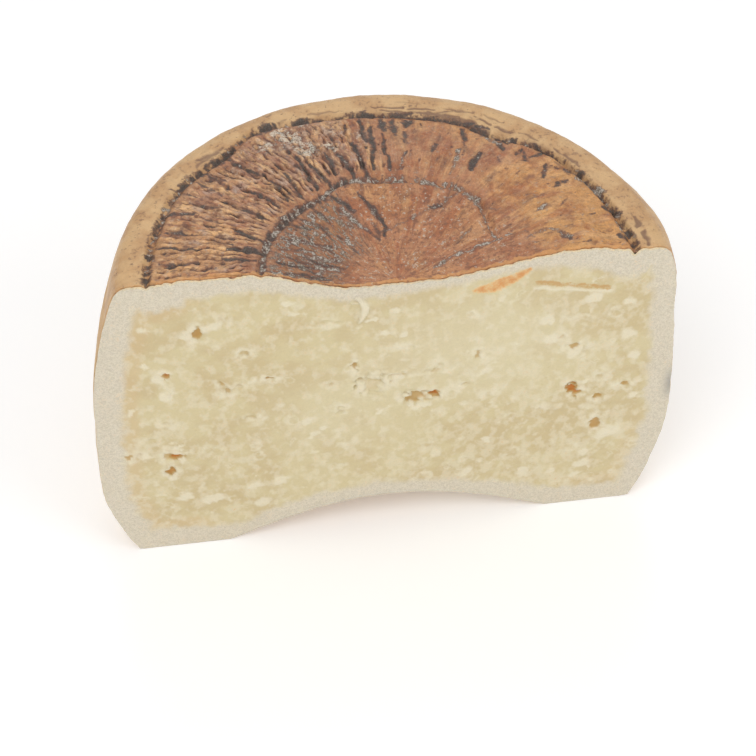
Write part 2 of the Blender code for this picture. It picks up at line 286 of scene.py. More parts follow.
RUST_STROKES = (
    (77, 69, 73, 73, 2.2, 1.0), (27, 63, 25, 70, 2.2, 1.0), (21, 82, 19, 85, 1.6, 0.8),
    (33, 42, 32, 48, 1.8, 0.8), (52, 74, 52, 66, 1.4, 1.0), (35, 58, 34, 60, 1.2, 0.7),
)
BLOOM_PATCHES = (
    (113, 77, 8.0, 1.0), (111, 69, 7.0, 0.9), (114, 84, 5.0, 1.0), (93, 70, 5.5, 0.7),
    (103, 66, 6.0, 0.8), (99, 76, 6.0, 0.6), (120, 78, 6.0, 0.8), (126, 81, 5.0, 0.4),
    (133, 76, 5.0, 0.35), (140, 70, 4.0, 0.25), (118, 58, 5.0, 0.35), (107, 82, 4.0, 0.6),
)


def polar(degrees, radius):
    """Place along the cut and behind it, in millimetres, of an angle and a radius."""
    return radius * np.cos(np.radians(degrees)), radius * np.sin(np.radians(degrees))


def strokes_at(x, y, strokes):
    """The strongest of the strokes at each place: its darkness on the line from its start
    to its end, falling by a soft hump to 0 at its half width."""
    result = np.zeros_like(x)
    for start, start_radius, end, end_radius, half_width, darkness in strokes:
        ax, ay = polar(start, start_radius)
        bx, by = polar(end, end_radius)
        length = (bx - ax) ** 2 + (by - ay) ** 2
        along = np.clip(((x - ax) * (bx - ax) + (y - ay) * (by - ay)) / length, 0, 1)
        away = np.hypot(x - ax - along * (bx - ax), y - ay - along * (by - ay))
        taper = 0.55 + 0.45 * np.sin(np.pi * np.clip(along, 0.05, 0.95))
        result = np.maximum(result, darkness * hump(away, half_width * 1.8 * taper))
    return result


def bead_chain(turn, frequency, seed):
    """Beads along a circle: 1 in the middle of each and 0 between two, by a soft hump of the
    place within each step of the frequency, and each bead's own random weight."""
    wander = noise((turn * frequency / 2.2, turn * 0, turn * 0), 1.0, seed, 2) - 0.5
    phase = turn * frequency + 4.4 * wander
    number = np.floor(phase).astype(int)
    weight = np.random.default_rng(seed).random(128)[number % 128]
    return smooth(0.5 + (0.18 + 0.30 * weight - np.abs(phase - number - 0.5)) / 0.22), weight


def crust_marks(radius, angle):
    """Every mark on the top crust at a radius and angle, each from 0 to 1, and the relief
    they stand or sink by. Places are warped a little by noise, so that no line is true."""
    x, y = radius * np.cos(angle) / mm, radius * np.sin(angle) / mm
    flat = np.zeros_like(x)
    level = 1.5 * (dish_height(radius, angle) - pressed_print(radius, angle)) / mm
    place = (x, y, level)
    wx, wy = (along + 2.4 * (noise(place, 7.0, seed) - 0.5) + 1.2 * (noise(place, 2.2, seed + 3, 1) - 0.5)
              for along, seed in ((x, 11), (y, 21)))
    r, degrees = np.hypot(wx, wy), np.degrees(np.arctan2(wy, wx))
    turn = np.radians(np.clip(degrees, 0, 180))
    ring, groove = path_radius(RING_PATH, turn) / mm, path_radius(GROOVE_PATH, turn) / mm
    coarse = noise(place, 3.2, 31)
    fine = noise(place, 1.5, 41, 1)
    broad = noise(place, 16.0, 51)
    on_top = smooth((groove + 2 - r) / 2)

    # Reed ridges: phase runs with the angle, and a valley lies at each whole number.
    phase = turn / np.pi * RIDGES + 0.9 * (noise((r / 9, degrees / 3, flat), 1.0, 61, 2) - 0.5)
    valley = np.round(phase)
    spacing = np.pi * r / RIDGES
    across = (phase - valley) * spacing
    ridged = smooth((r - ring - 1.5) / 5) * smooth((groove - 1.8 - r) / 3)
    valley_shape = hump(across, 0.42 * spacing)

    # Broken dashes in the valleys, dense at the left and sparse at the right.
    breaks = noise((valley * 1.37, r / 2.2 + valley * 5.1, flat), 1.0, 71, 2)
    strength = contrast(noise((valley * 1.9, r / 7.0 + valley * 3.3, flat), 1.0, 75, 2), 2.4)
    left = smooth((degrees - 84) / 16)
    density = 0.20 + 0.30 * left + 0.16 * hump(degrees - 112, 26)
    density = density + 0.16 * left * hump(r - ring - 5, 9) + 0.08 * hump(r - groove + 4, 6)
    density = density - 0.12 * smooth((degrees - 140) / 20) * hump(r - 70, 12)
    density = density + 0.10 * (broad - 0.5)
    dash = smooth((breaks - (1 - density)) / 0.16) * hump(across, 0.85) * ridged
    dash = dash * (0.25 + 0.75 * strength)
    faint = smooth((breaks - (0.86 - density)) / 0.16) * hump(across, 1.0) * ridged

    # Streaks inside the ring, at its left.
    inner_phase = turn / np.pi * INNER_RIDGES
    inner_valley = np.round(inner_phase)
    inner_across = (inner_phase - inner_valley) * np.pi * r / INNER_RIDGES
    inner_breaks = noise((inner_valley * 2.3, r / 4.0 + inner_valley * 3.7, flat), 1.0, 81, 2)
    inner_zone = smooth((degrees - 104) / 16) * smooth((r - 14) / 10) * smooth((ring - 1 - r) / 3)
    inner = smooth((inner_breaks - 0.50) / 0.12) * hump(inner_across, 1.1) * inner_zone

    # The ring and the groove: chains of dark beads, with pale mould between them.
    ring_share = smooth((degrees - 46) / 12)
    ring_strength = smooth((degrees - 76) / 34)
    bead, bead_weight = bead_chain(turn, 44 / 4.2, 91)
    ring_line = hump(r - ring, 2.2 + 1.4 * ring_strength * bead_weight) * ring_share
    ring_dark = ring_line * (0.30 + 0.70 * ring_strength) * (0.30 + 0.70 * bead)
    ring_dark = ring_dark * smooth((coarse - 0.34 + 0.30 * ring_strength) / 0.2)
    ring_grey = hump(r - ring, 2.6) * ring_share * np.maximum(1 - bead, smooth((fine - 0.5) / 0.2))
    ring_grey = np.maximum(ring_grey, hump(r - ring, 2.8) * ring_share * (1 - ring_strength)
                           * smooth((fine - 0.45) / 0.25) * smooth((coarse - 0.36) / 0.2))
    bead, bead_weight = bead_chain(turn, 86 / 5.4, 101)
    solid = hump(degrees - 78, 34)
    groove_width = 2.2 + 1.8 * contrast(noise((turn * 86 / 6.0, flat, flat), 1.0, 105, 2), 2)
    groove_line = hump(r - groove, groove_width) * smooth((fine - 0.05) / 0.3)
    groove_dark = groove_line * np.maximum(bead * (0.6 + 0.8 * bead_weight), 0.85 * solid)
    groove_gaps = contrast(noise((turn * 86 / 5.5, flat, flat), 1.0, 111, 2), 2.2)
    gap_share = 0.55 * hump(degrees - 104, 16) + 0.35 * smooth((60 - degrees) / 20)
    groove_dark = groove_dark * (1 - gap_share * groove_gaps)
    groove_grey = groove_line * (1 - bead) * smooth((fine - 0.30) / 0.3) * (1 - 0.7 * solid)

    strokes = strokes_at(wx, wy, DARK_STROKES)
    greys = strokes_at(wx, wy, GREY_STROKES)
    browns = strokes_at(wx, wy, BROWN_STROKES) * smooth((coarse - 0.22) / 0.2)
    stains = hump(r - groove - 0.6, 4.6) * smooth((coarse - 0.40) / 0.22)
    stains = stains * (0.35 + 0.65 * hump(degrees - 66, 50))
    dark = np.maximum.reduce([dash * 0.95, inner * 0.75, ring_dark, groove_dark,
                              strokes * (0.62 + 0.76 * fine)])
    dark = np.clip(dark, 0, 1)

    bloom = np.zeros_like(x)
    for patch, patch_radius, reach, strength in BLOOM_PATCHES:
        px, py = polar(patch, patch_radius)
        bloom = np.maximum(bloom, strength * smooth(1.15 - np.hypot(wx - px, wy - py) / reach))
    crumbly = contrast(noise(place, 2.0, 121, 3), 2.2)
    chalk = 0.62 * smooth((bloom * (0.40 + crumbly) - 0.40) / 0.4)
    flecks = contrast(noise(place, 1.6, 131, 1), 1.6)
    grey = np.maximum.reduce([ring_grey * 0.9, groove_grey * 0.85, greys * (0.35 + fine),
                              smooth((flecks - 0.80) / 0.15) * strokes * 0.6,
                              smooth((flecks - 0.72) / 0.15) * inner_zone * 0.8,
                              smooth((flecks - 0.70) / 0.2) * bloom * 0.9])
    grey = np.clip(grey, 0, 1)

    tan = smooth((r - groove + 0.8) / 1.8)
    ochre = 0.95 * smooth((58 - degrees) / 34) * smooth((r - 40) / 26)
    ochre = np.maximum(ochre, 0.55 * smooth((r - 62) / 22) * smooth((96 - degrees) / 20))
    ochre = np.maximum(ochre, 0.80 * smooth((degrees - 150) / 18) * smooth((r - 48) / 14))
    ochre = np.maximum(ochre, 0.45 * smooth((r - 72) / 12) * smooth((degrees - 120) / 20))
    ochre = np.clip(ochre + 0.75 * (contrast(noise(place, 9.0, 141), 1.6) - 0.5), 0, 1)
    dull = hump(degrees - 116, 50) * smooth((r - 44) / 12) * (0.55 + 0.9 * (broad - 0.5))
    dull = np.maximum(dull, 0.45 * smooth((degrees - 120) / 20) * smooth((r - 40) / 10))
    dull = np.clip(dull * (1 - tan), 0, 1)
    rust = noise((degrees / 5.5, r / 16, flat), 1.0, 151, 3)
    rust = smooth((rust - 0.56) / 0.14) * smooth((120 - degrees) / 20) * on_top
    rust = np.maximum(rust, 0.8 * smooth((noise(place, 5.0, 161) - 0.60) / 0.12)
                      * smooth((r - 5) / 10) * on_top)
    rust = np.maximum(rust, strokes_at(wx, wy, RUST_STROKES))

    bumps = noise(place, 6.5, 171) - 0.5
    furrow = valley_shape * ridged * (0.25 + 0.75 * left) * contrast(breaks, 2.8)
    relief = -1.15 * between(RIDGE_DEPTH, turn) * furrow
    relief = relief + 0.9 * mm * bumps * smooth((groove - 1 - r) / 6)
    relief = relief + 0.80 * mm * (noise(place, 2.2, 181, 2) - 0.5) * (0.25 + 0.75 * on_top)
    relief = relief - 0.40 * mm * np.maximum(dash, 0.6 * inner) - 0.45 * mm * strokes
    relief = relief - 0.35 * mm * browns - 0.25 * mm * greys * (1 - crumbly)
    relief = relief + 0.35 * mm * chalk * crumbly + 0.35 * mm * grey * (flecks - 0.3)
    relief = relief - 0.5 * mm * (groove_dark * (0.5 - fine) + ring_dark * (0.5 - fine))
    brown = np.clip(np.maximum.reduce([browns, 0.55 * faint, 0.75 * stains]), 0, 1)
    edge = 1 - smooth((y - 0.1 - 1.5 * contrast(fine, 2)) / 1.1)
    # Where dark pores and pale crumbs lie, most in the middle and on the bloom. The pale crumbs are partly
    # real crumbs and partly painted glints.
    crumbs = np.clip(0.35 * on_top + 0.65 * smooth((52 - r) / 10) + 0.5 * bloom, 0, 1)
    density = np.clip(density * ridged + 0.80 * inner_zone + 0.25 * bloom, 0, 1)
    marks = {"dark": dark, "grey": grey, "chalk": chalk, "tan": tan, "ochre": ochre, "dull": dull,
             "density": density, "inner": inner_zone, "bloom": bloom,
             # The crest mark is a painted highlight on the tops of the reed ridges, strongest at the left.
             "painted_crest_highlight": (1 - valley_shape) * ridged * left, "band": hump(r - groove - 7, 9) * tan,
             "rust": rust, "brown": brown, "reed": ridged * (0.22 + 0.78 * left), "edge": edge,
             "crumbs": crumbs}
    return marks, relief


def curve_normals(curve):
    """Outward normals, in radius and height, of rows that run down the outside: each row's
    tangent turned a quarter."""
    tangent = np.gradient(curve, axis=0)
    tangent = tangent / np.linalg.norm(tangent, axis=-1, keepdims=True)
    return np.stack([-tangent[..., 1], tangent[..., 0]], -1)


def dents(radius, angle, height):
    """Slow unevenness of the rim band and the wall, in metres: two sizes of noise."""
    place = (radius * np.cos(angle) / mm, radius * np.sin(angle) / mm, height / mm)
    slow, quick = noise(place, 15.0, 191, 2) - 0.5, noise(place, 3.4, 195, 2) - 0.5
    return 0.9 * mm * slow + 0.28 * mm * quick


def strip_faces(near, far):
    """Triangles between two rows of point numbers of any lengths. Each step of one row goes
    to the point of the other that lies at the same share of its length."""
    near, far = np.asarray(near), np.asarray(far)
    m, n = len(near) - 1, len(far) - 1
    near_step, far_step = np.arange(m), np.arange(n)
    partner = np.round((far_step + 0.5) / max(n, 1) * m).astype(int)
    crossing = np.searchsorted(partner, near_step + 0.5)
    return np.concatenate([
        np.stack([near[partner], far[far_step], far[far_step + 1]], -1),
        np.stack([near[near_step], far[crossing], near[near_step + 1]], -1)])


def surface_faces(rows):
    """Faces over a list of rows of point numbers, each row running anticlockwise round the
    wheel: quads between rows of one length, and triangles where the lengths differ."""
    quads, triangles = [], []
    for near, far in zip(rows, rows[1:]):
        if len(near) == len(far) > 1:
            quads.append(np.stack([near[:-1], far[:-1], far[1:], near[1:]], -1))
        else:
            triangles.append(strip_faces(near, far))
    return [np.concatenate(faces) for faces in (quads, triangles) if faces]


def skin_patches(outer, inner, outer_flat, inner_flat, end_flat):
    """Patches of a closed skin: the outer rows, the inner rows turned to face in, the two
    ends at the cut, and the edge where both sides stop short of the axis."""
    patches = [(faces, outer_flat) for faces in surface_faces(outer)]
    patches += [(faces[:, ::-1], inner_flat) for faces in surface_faces(inner)]
    near_end = strip_faces([row[0] for row in inner], [row[0] for row in outer])
    far_end = strip_faces([row[-1] for row in inner], [row[-1] for row in outer])
    patches += [(near_end[:, ::-1], end_flat), (far_end, end_flat)]
    if len(outer[0]) > 1:
        patches.append((strip_faces(inner[0], outer[0]), end_flat))
    if len(outer[-1]) > 1:
        patches.append((strip_faces(inner[-1], outer[-1])[:, ::-1], end_flat))
    return patches


def new_piece(name, points, patches, marks):
    """Mesh object from points and patches of faces. A patch is an array of point numbers
    and an array with each point's place on the flat map; marks become attributes."""
    mesh = bpy.data.meshes.new(name)
    corners = np.concatenate([faces.ravel() for faces, flat in patches])
    sizes = np.concatenate([np.full(len(faces), faces.shape[1]) for faces, flat in patches])
    layout = np.concatenate([flat[faces.ravel()] for faces, flat in patches])
    mesh.vertices.add(len(points))
    mesh.vertices.foreach_set("co", (points + AXIS).astype(np.float32).ravel())
    mesh.loops.add(len(corners))
    mesh.loops.foreach_set("vertex_index", corners.astype(np.int32))
    mesh.polygons.add(len(sizes))
    mesh.polygons.foreach_set("loop_start", (np.cumsum(sizes) - sizes).astype(np.int32))
    mesh.update(calc_edges=True)
    mesh.uv_layers.new(name="OFBake").data.foreach_set("uv", layout.astype(np.float32).ravel())
    for mark, values in marks.items():
        attribute = mesh.attributes.new(mark, "FLOAT", "POINT")
        attribute.data.foreach_set("value", values.astype(np.float32))
    mesh.shade_smooth()
    mesh.set_sharp_from_angle(angle=SHARP_EDGE)
    piece = bpy.data.objects.new(name, mesh)
    bpy.context.scene.collection.objects.link(piece)
    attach(piece, "root")
    return piece


def turned(radius, angle, height):
    """Points at a radius, angle and height about the wheel's axis."""
    radius, angle, height = np.broadcast_arrays(radius, angle, height)
    return np.stack([radius * np.cos(angle), radius * np.sin(angle), height], -1)


def behind_cut(points, recess):
    """Points moved back from the cut by the recess there, fading out within 3 mm."""
    moved = points.copy()
    moved[..., 1] += recess * np.exp(-points[..., 1] / (1.0 * mm))
    return moved


def ragged_recess(points):
    """How far a skin's end stands behind the cut: a little, and unevenly."""
    x, z = points[..., 0] / mm, points[..., 2] / mm
    return CUT_RECESS + 0.5 * mm * contrast(noise((x, z, x * 0), 1.6, 201, 2), 2.0)


def half_disc(points, unrolled, centre, size):
    """Flat map of a half wheel: the radius as unrolled, about a centre, and scaled."""
    angle = np.arctan2(np.maximum(points[:, 1], 0), points[:, 0])
    return np.stack([centre[0] + size[0] * unrolled * np.cos(angle),
                     centre[1] + size[1] * unrolled * np.sin(angle)], -1)


def ends_map(points, outer_count):
    """Flat map of a skin's ends: a thin strip at the foot of the map, with the outer points,
    which come first, above the inner ones."""
    height = np.where(np.arange(len(points)) < outer_count, 0.012, 0.002)
    return np.stack([0.5 + 4.0 * points[:, 0], height], -1)


def numbered(grids, first):
    """Rows of point numbers for grids of points, counted on from the first."""
    rows = []
    for grid in grids:
        count = grid.shape[0] * grid.shape[1]
        rows += list(first + np.arange(count).reshape(grid.shape[:2]))
        first += count
    return rows


def top_height(radius, angle):
    """Height of a grid of the top inside the rim's rounding, with its print and its relief,
    and the marks at its points."""
    shape = radius.shape
    radius, angle = radius.ravel(), np.broadcast_to(angle, shape).ravel()
    marks, relief = crust_marks(radius, angle)
    height = dish_height(radius, angle) - pressed_print(radius, angle) + relief
    height = height + dents(radius, angle, height) * smooth((radius - DENTS_START) / DENTS_FADE)
    return height.reshape(shape), marks


def edge_curve(keys, angle):
    """Rounding and wall with their relief and dents, pushed along the curve's normals."""
    curve = outer_curve(keys, angle)
    fine_keys = np.linspace(0, FOOT_KEY, NORMALS_PER_KEY * FOOT_KEY + 1)
    normals = curve_normals(outer_curve(fine_keys, angle))
    normal = curve_through(normals, np.asarray(keys) * NORMALS_PER_KEY)
    turn = np.broadcast_to(angle, curve.shape[:2])
    marks, relief = crust_marks(curve[..., 0].ravel(), turn.ravel())
    fade = smooth((3.2 - np.asarray(keys)) / 1.5)[:, None]
    push = relief.reshape(turn.shape) * fade + dents(curve[..., 0], turn, curve[..., 1])
    return curve + normal * push[..., None], marks


def rounding_start(angle):
    """Radius where the flat rim band starts to turn over into the wall."""
    return between(RIM_RADIUS, angle) + RIM_BACK_SWELL * np.sin(angle) + RIM_ROUNDING[0][0]


# Bands of the top from the middle outwards: columns, rows, and where each ends. The first
# three end at a third of the ring's radius, at the ring and at the rounding; the others are
# counted in keys down the rounding.
CENTRE_HOLE = 0.0008
FLAT_BANDS = ((150, 16), (300, 44), (600, 92))
EDGE_BANDS = ((600, 14, 0.0, 3.0), (300, 9, 3.0, SEAM_KEY))
# Columns and rows of the skin's inner side.
INNER_COLUMNS = 61
INNER_ROWS = 24
# Length of the curve over the rounding, at some of its keys.
UNROLLED_ROUNDING = ((0, 3, 4), (0, 0.0095, 0.0200))

middle_height, middle_marks = top_height(np.zeros(1), np.pi / 2)
grids, unrolled, marks_of = [], [[0.0]], [middle_marks]
for band, (columns, rows) in enumerate(FLAT_BANDS):
    angle = np.linspace(0, np.pi, columns)
    ring = path_radius(RING_PATH, angle) - RING_HALF_WIDTH
    stops = (CENTRE_HOLE + 0 * ring, 0.33 * ring, ring, rounding_start(angle))
    share = (np.arange(rows)[:, None] + (band > 0)) / (rows - (band == 0))
    radius = stops[band] + (stops[band + 1] - stops[band]) * share
    height, marks = top_height(radius, angle)
    grids.append(turned(radius, angle, height))
    unrolled.append(radius.ravel())
    marks_of.append(marks)
for columns, rows, start, end in EDGE_BANDS:
    angle = np.linspace(0, np.pi, columns)
    keys = start + (end - start) * (np.arange(rows) + 1) / rows
    curve, marks = edge_curve(keys, angle)
    grids.append(turned(curve[..., 0], angle, curve[..., 1]))
    beyond = np.interp(keys, *UNROLLED_ROUNDING)[:, None]
    unrolled.append((rounding_start(angle) + beyond).ravel())
    marks_of.append(marks)

outer_rows = [np.array([0])] + numbered(grids, 1)
outer = np.concatenate([[[0.0, 0.0, middle_height[0]]]] + [grid.reshape(-1, 3) for grid in grids])
outer = behind_cut(outer, ragged_recess(outer))
unrolled = np.concatenate(unrolled)

# The inner side follows the dish and the print at one thickness below them.
angle = np.linspace(0, np.pi, INNER_COLUMNS)
rim = outer_curve([0, 1.5, 2.7, SEAM_KEY], angle)
share = np.linspace(0.02, 1, INNER_ROWS)[:, None]
radius = share * (rim[0, :, 0] - 1.0 * mm)
turn = np.broadcast_to(angle, radius.shape)
height = dish_height(radius, turn) - pressed_print(radius, turn).reshape(radius.shape) - SKIN_THICKNESS
rim[..., 0] -= SKIN_THICKNESS * np.array([0.4, 0.8, 1.0, 1.0])[:, None]
rim[..., 1] -= SKIN_THICKNESS * np.array([1.0, 0.8, 0.4, 0.0])[:, None]
inner = turned(np.concatenate([radius, rim[..., 0]]), angle, np.concatenate([height, rim[..., 1]]))
inner_rows = [np.array([len(outer)])] + numbered([inner], len(outer) + 1)
inner_middle = dish_height(np.zeros(1), np.zeros(1))[0] - SKIN_THICKNESS
inner = np.concatenate([[[0.0, 0.0, inner_middle]], inner.reshape(-1, 3)])
points = np.concatenate([outer, behind_cut(inner, CUT_RECESS)])

hidden = len(inner)
all_unrolled = np.concatenate([unrolled, np.hypot(inner[:, 0], inner[:, 1])])
marks = {mark: np.concatenate([m[mark] for m in marks_of] + [np.zeros(hidden)])
         for mark in marks_of[0]}
reach = unrolled.max()
end_flat = ends_map(points, len(outer))
patches = skin_patches(
    outer_rows, inner_rows,
    half_disc(points, all_unrolled, (0.5, 0.02), (0.495 / reach, 0.97 / reach)),
    half_disc(points, all_unrolled, (0.07, 0.85), (0.06 / reach, 0.12 / reach)), end_flat)
rind_top = new_piece("rind_top", points, patches, marks)
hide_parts("half_wheel")


def display_colour(red, green, blue):
    """A colour as a screen shows it, 0 to 255, turned into the renderer's linear values."""
    shares = np.array([red, green, blue]) / 255
    linear = np.where(shares <= 0.04045, shares / 12.92, ((shares + 0.055) / 1.055) ** 2.4)
    return (*linear.tolist(), 1.0)


def operator(operation, turned_round=False):
    """A Python operator on a value that adds a Math node."""
    def apply(first, second):
        pair = (second, first) if turned_round else (first, second)
        return first.joined(operation, *pair)
    return apply


class Wire:
    """A value on a shader socket. Python's operators on it add Math nodes."""

    def __init__(self, finish, socket):
        self.finish = finish
        self.socket = socket

    def joined(self, operation, first, second):
        return self.finish.node("ShaderNodeMath", {"operation": operation}, {0: first, 1: second})

    __add__ = operator("ADD")
    __radd__ = operator("ADD", True)
    __sub__ = operator("SUBTRACT")
    __rsub__ = operator("SUBTRACT", True)
    __mul__ = operator("MULTIPLY")
    __rmul__ = operator("MULTIPLY", True)
    __truediv__ = operator("DIVIDE")


class Finish:
    """A material under construction: its nodes, links and shader, and what adds to them."""

    def __init__(self, name):
        self.material = bpy.data.materials.new(name)
        self.material.use_nodes = True
        self.tree = self.material.node_tree
        self.shader = self.tree.nodes["Principled BSDF"]
        self.place = self.node("ShaderNodeTexCoord", {}, {}, "Object")
        self.colour = None

    def node(self, kind, settings, sockets, output=0):
        """Any node: its settings first, then its sockets' values or links."""
        node = self.tree.nodes.new(kind)
        for name, value in settings.items():
            setattr(node, name, value)
        self.fill(node, sockets)
        return Wire(self, node.outputs[output])

    def fill(self, node, sockets):
        for name, value in sockets.items():
            if isinstance(value, Wire):
                self.tree.links.new(value.socket, node.inputs[name])
            else:
                node.inputs[name].default_value = value

    def mark(self, name):
        """An attribute of the mesh."""
        return self.node("ShaderNodeAttribute", {"attribute_name": name}, {}, "Fac")

    def step(self, value, low, high):
        """Soft step of a value from 0 at the low end to 1 at the high end."""
        return self.node("ShaderNodeMapRange", {"interpolation_type": "SMOOTHSTEP"},
                         {"Value": value, "From Min": low, "From Max": high})

    def mix(self, first, second, share):
        """The first colour, turned to the second by a share."""
        return self.node("ShaderNodeMix", {"data_type": "RGBA"}, {0: share, 6: first, 7: second}, 2)

    def lay(self, colour, share):
        """Lays a colour over what is there, by a share."""
        self.colour = self.mix(self.colour, colour, share)

    def brighten(self, factor):
        """Multiplies what is there by a factor that varies about 1."""
        grey = self.node("ShaderNodeCombineXYZ", {}, {0: factor, 1: factor, 2: factor})
        self.colour = self.node("ShaderNodeVectorMath", {"operation": "MULTIPLY"},
                                {0: self.colour, 1: grey})

    def grain(self, size, detail=2.0, stretch=(1, 1, 1), turn=(0, 0, 0), rough=0.55):
        """Noise of a size in metres, from 0 to 1, stretched and turned on the object."""
        place = self.node("ShaderNodeMapping", {},
                          {"Vector": self.place, "Scale": stretch, "Rotation": turn})
        return self.node("ShaderNodeTexNoise", {},
                         {"Vector": place, "Scale": 1 / size, "Detail": detail, "Roughness": rough})

    def radial_grain(self, width, length, detail=2.0):
        """Noise in streaks that run out from the wheel's axis: its first coordinate is the
        angle, as an arc at 65 mm over the width, and its second the radius over the length."""
        parts = self.node("ShaderNodeSeparateXYZ", {}, {0: self.place})
        x = parts - float(AXIS[0])
        y = Wire(self, parts.socket.node.outputs[1]) - float(AXIS[1])
        angle = x.joined("ARCTAN2", y, x)
        radius = x.joined("SQRT", x * x + y * y, 0.0)
        place = self.node("ShaderNodeCombineXYZ", {}, {0: angle * (0.065 / width), 1: radius / length})
        return self.node("ShaderNodeTexNoise", {},
                         {"Vector": place, "Scale": 1.0, "Detail": detail, "Roughness": 0.55})

    def done(self, piece, roughness, height, depth, constants):
        """Wires the shader and gives the material to a piece. The height varies from 0 to
        1 over a depth in metres; the constants are the same all over."""
        bump = self.node("ShaderNodeBump", {}, {"Height": height, "Distance": depth})
        self.fill(self.shader, {"Base Color": self.colour, "Roughness": roughness, "Normal": bump})
        self.fill(self.shader, constants)
        piece.data.materials.append(self.material)


BRICK = display_colour(178, 122, 86)
OCHRE = display_colour(206, 150, 90)
GOLD = display_colour(232, 186, 130)
TAN = display_colour(210, 172, 124)
TAN_DEEP = display_colour(194, 152, 106)
RUST = display_colour(150, 82, 48)
DULL_BROWN = display_colour(164, 130, 106)
STREAK_BROWN = display_colour(124, 84, 62)
PURPLE_BROWN = display_colour(98, 66, 56)
BLACK_MOULD = display_colour(62, 54, 52)
MOULD_GREEN = display_colour(100, 95, 82)
GREY_MOULD = display_colour(194, 184, 172)
LILAC_GREY = display_colour(182, 160, 146)
CHALK = display_colour(214, 204, 186)
EDGE_ORANGE = display_colour(222, 162, 98)

crust = Finish("top_crust")
specks = crust.grain(0.5 * mm, 2.0)
crumbs = crust.grain(1.5 * mm, 2.0)
mottle = crust.grain(2.4 * mm, 4.0)
broken = crust.grain(0.9 * mm, 3.0)
streaks = crust.radial_grain(1.1 * mm, 7.0 * mm, 3.0)
bands = crust.radial_grain(3.6 * mm, 24.0 * mm, 3.0)
soft = crust.grain(9.0 * mm, 3.0)
reed = crust.mark("reed")
crust.colour = crust.mix(BRICK, OCHRE, crust.mark("ochre"))
crust.lay(DULL_BROWN, crust.mark("dull") * 0.85)
crust.lay(RUST, crust.step(crust.mark("rust") + 0.8 * (bands - 0.5), 0.2, 0.9) * 0.5)
crust.lay(GOLD, crust.step(bands, 0.46, 0.64) * (0.22 + 0.45 * reed))
crust.lay(STREAK_BROWN, crust.step(streaks, 0.50, 0.68) * (0.15 + 0.5 * reed))
crust.lay(GOLD, crust.step(1 - streaks, 0.52, 0.66) * reed * 0.55)
crust.lay(RUST, crust.step(soft, 0.50, 0.66) * 0.42)
dabs = crust.radial_grain(4.4 * mm, 9.0 * mm, 4.0)
crust.lay(STREAK_BROWN, crust.step(dabs, 0.53, 0.68) * 0.62)
crust.lay(LILAC_GREY, crust.step(1 - dabs, 0.54, 0.68) * reed * 0.55)
crust.lay(STREAK_BROWN, crust.mark("inner") * 0.45)
chips = crust.radial_grain(1.2 * mm, 2.8 * mm, 3.0)
crust.lay(LILAC_GREY, crust.step(1 - chips, 0.56, 0.68) * reed * 0.45)
crust.lay(GOLD, crust.step(chips + 0.12 * reed, 0.52, 0.40) * reed * 0.5)
crust.lay(PURPLE_BROWN, crust.step(chips + 0.10 * reed, 0.62, 0.74) * (0.12 + 0.5 * reed))
tan = crust.mark("tan")
crust.lay(crust.mix(TAN, TAN_DEEP, crust.step(soft, 0.40, 0.62)), tan)
# Brightness varies at random with the mottle and the specks, and the ridges' crests get a painted highlight.
tone_and_crest_highlight = 0.25 + 0.84 * mottle + 0.56 * specks + 0.10 * crust.mark("painted_crest_highlight")
crust.brighten(tone_and_crest_highlight + (1 - tone_and_crest_highlight) * tan * 0.72)
dashes = crust.radial_grain(2.2 * mm, 4.6 * mm, 3.0) + 0.26 * crust.mark("density") - 0.3 * tan
strewn = crust.mark("crumbs")
crust.lay(STREAK_BROWN, crust.step(1 - crumbs, 0.53, 0.66) * strewn * 0.7)
# Pale crumbs: partly real crumbs, partly painted glints of the crust's sheen.
crust.lay(CHALK, crust.step(crumbs + 0.3 * (specks - 0.5), 0.60, 0.72) * strewn * 0.6)
bloom = crust.mark("bloom")
crust.lay(PURPLE_BROWN, crust.step(1 - broken, 0.50, 0.62) * bloom * 0.6)
crust.lay(CHALK, crust.step(mottle + 0.5 * (broken - 0.5), 0.50, 0.64) * bloom * 0.6)
brown = crust.step(crust.mark("brown") + 0.5 * (mottle - 0.5), 0.15, 0.85)
crust.lay(PURPLE_BROWN, brown * 0.7)
crust.lay(PURPLE_BROWN, crust.step(dashes, 0.63, 0.73) * 0.8)
crust.lay(BLACK_MOULD, crust.step(dashes, 0.72, 0.82) * 0.7)
smudge = crust.step(crumbs + 0.6 * (soft - 0.5), 0.56, 0.72) * crust.mark("band")
crust.lay(PURPLE_BROWN, smudge * 0.35)
dark = crust.mark("dark") + 0.9 * (broken - 0.5) + 0.9 * (crumbs - 0.5)
crust.lay(PURPLE_BROWN, crust.step(dark, 0.14, 0.58) * 0.75)
black = crust.step(dark, 0.46, 0.92)
crust.lay(BLACK_MOULD, black * 0.85)
speckle = crust.step(specks + 0.6 * (broken - 0.5), 0.48, 0.64)
crust.lay(MOULD_GREEN, black * speckle * 0.6)
moulded = crust.radial_grain(1.9 * mm, 5.0 * mm, 3.0) + 0.3 * (broken - 0.5)
moulded = crust.step(moulded, 0.50, 0.60) * crust.mark("inner")
crust.lay(MOULD_GREEN, moulded * 0.7)
crust.lay(GREY_MOULD, moulded * speckle * 0.45)
grey = crust.mark("grey")
crust.lay(PURPLE_BROWN, crust.step(grey + 1.2 * (crumbs - 0.5), 0.12, 0.50) * 0.6)
grey = crust.step(grey + 1.2 * (broken - 0.5) + 0.6 * (mottle - 0.5), 0.36, 0.84)
crust.lay(MOULD_GREEN, grey * 0.75)
pale = crust.step(specks + 0.6 * (broken - 0.5), 0.43, 0.58)
crust.lay(GREY_MOULD, grey * pale * 0.8)
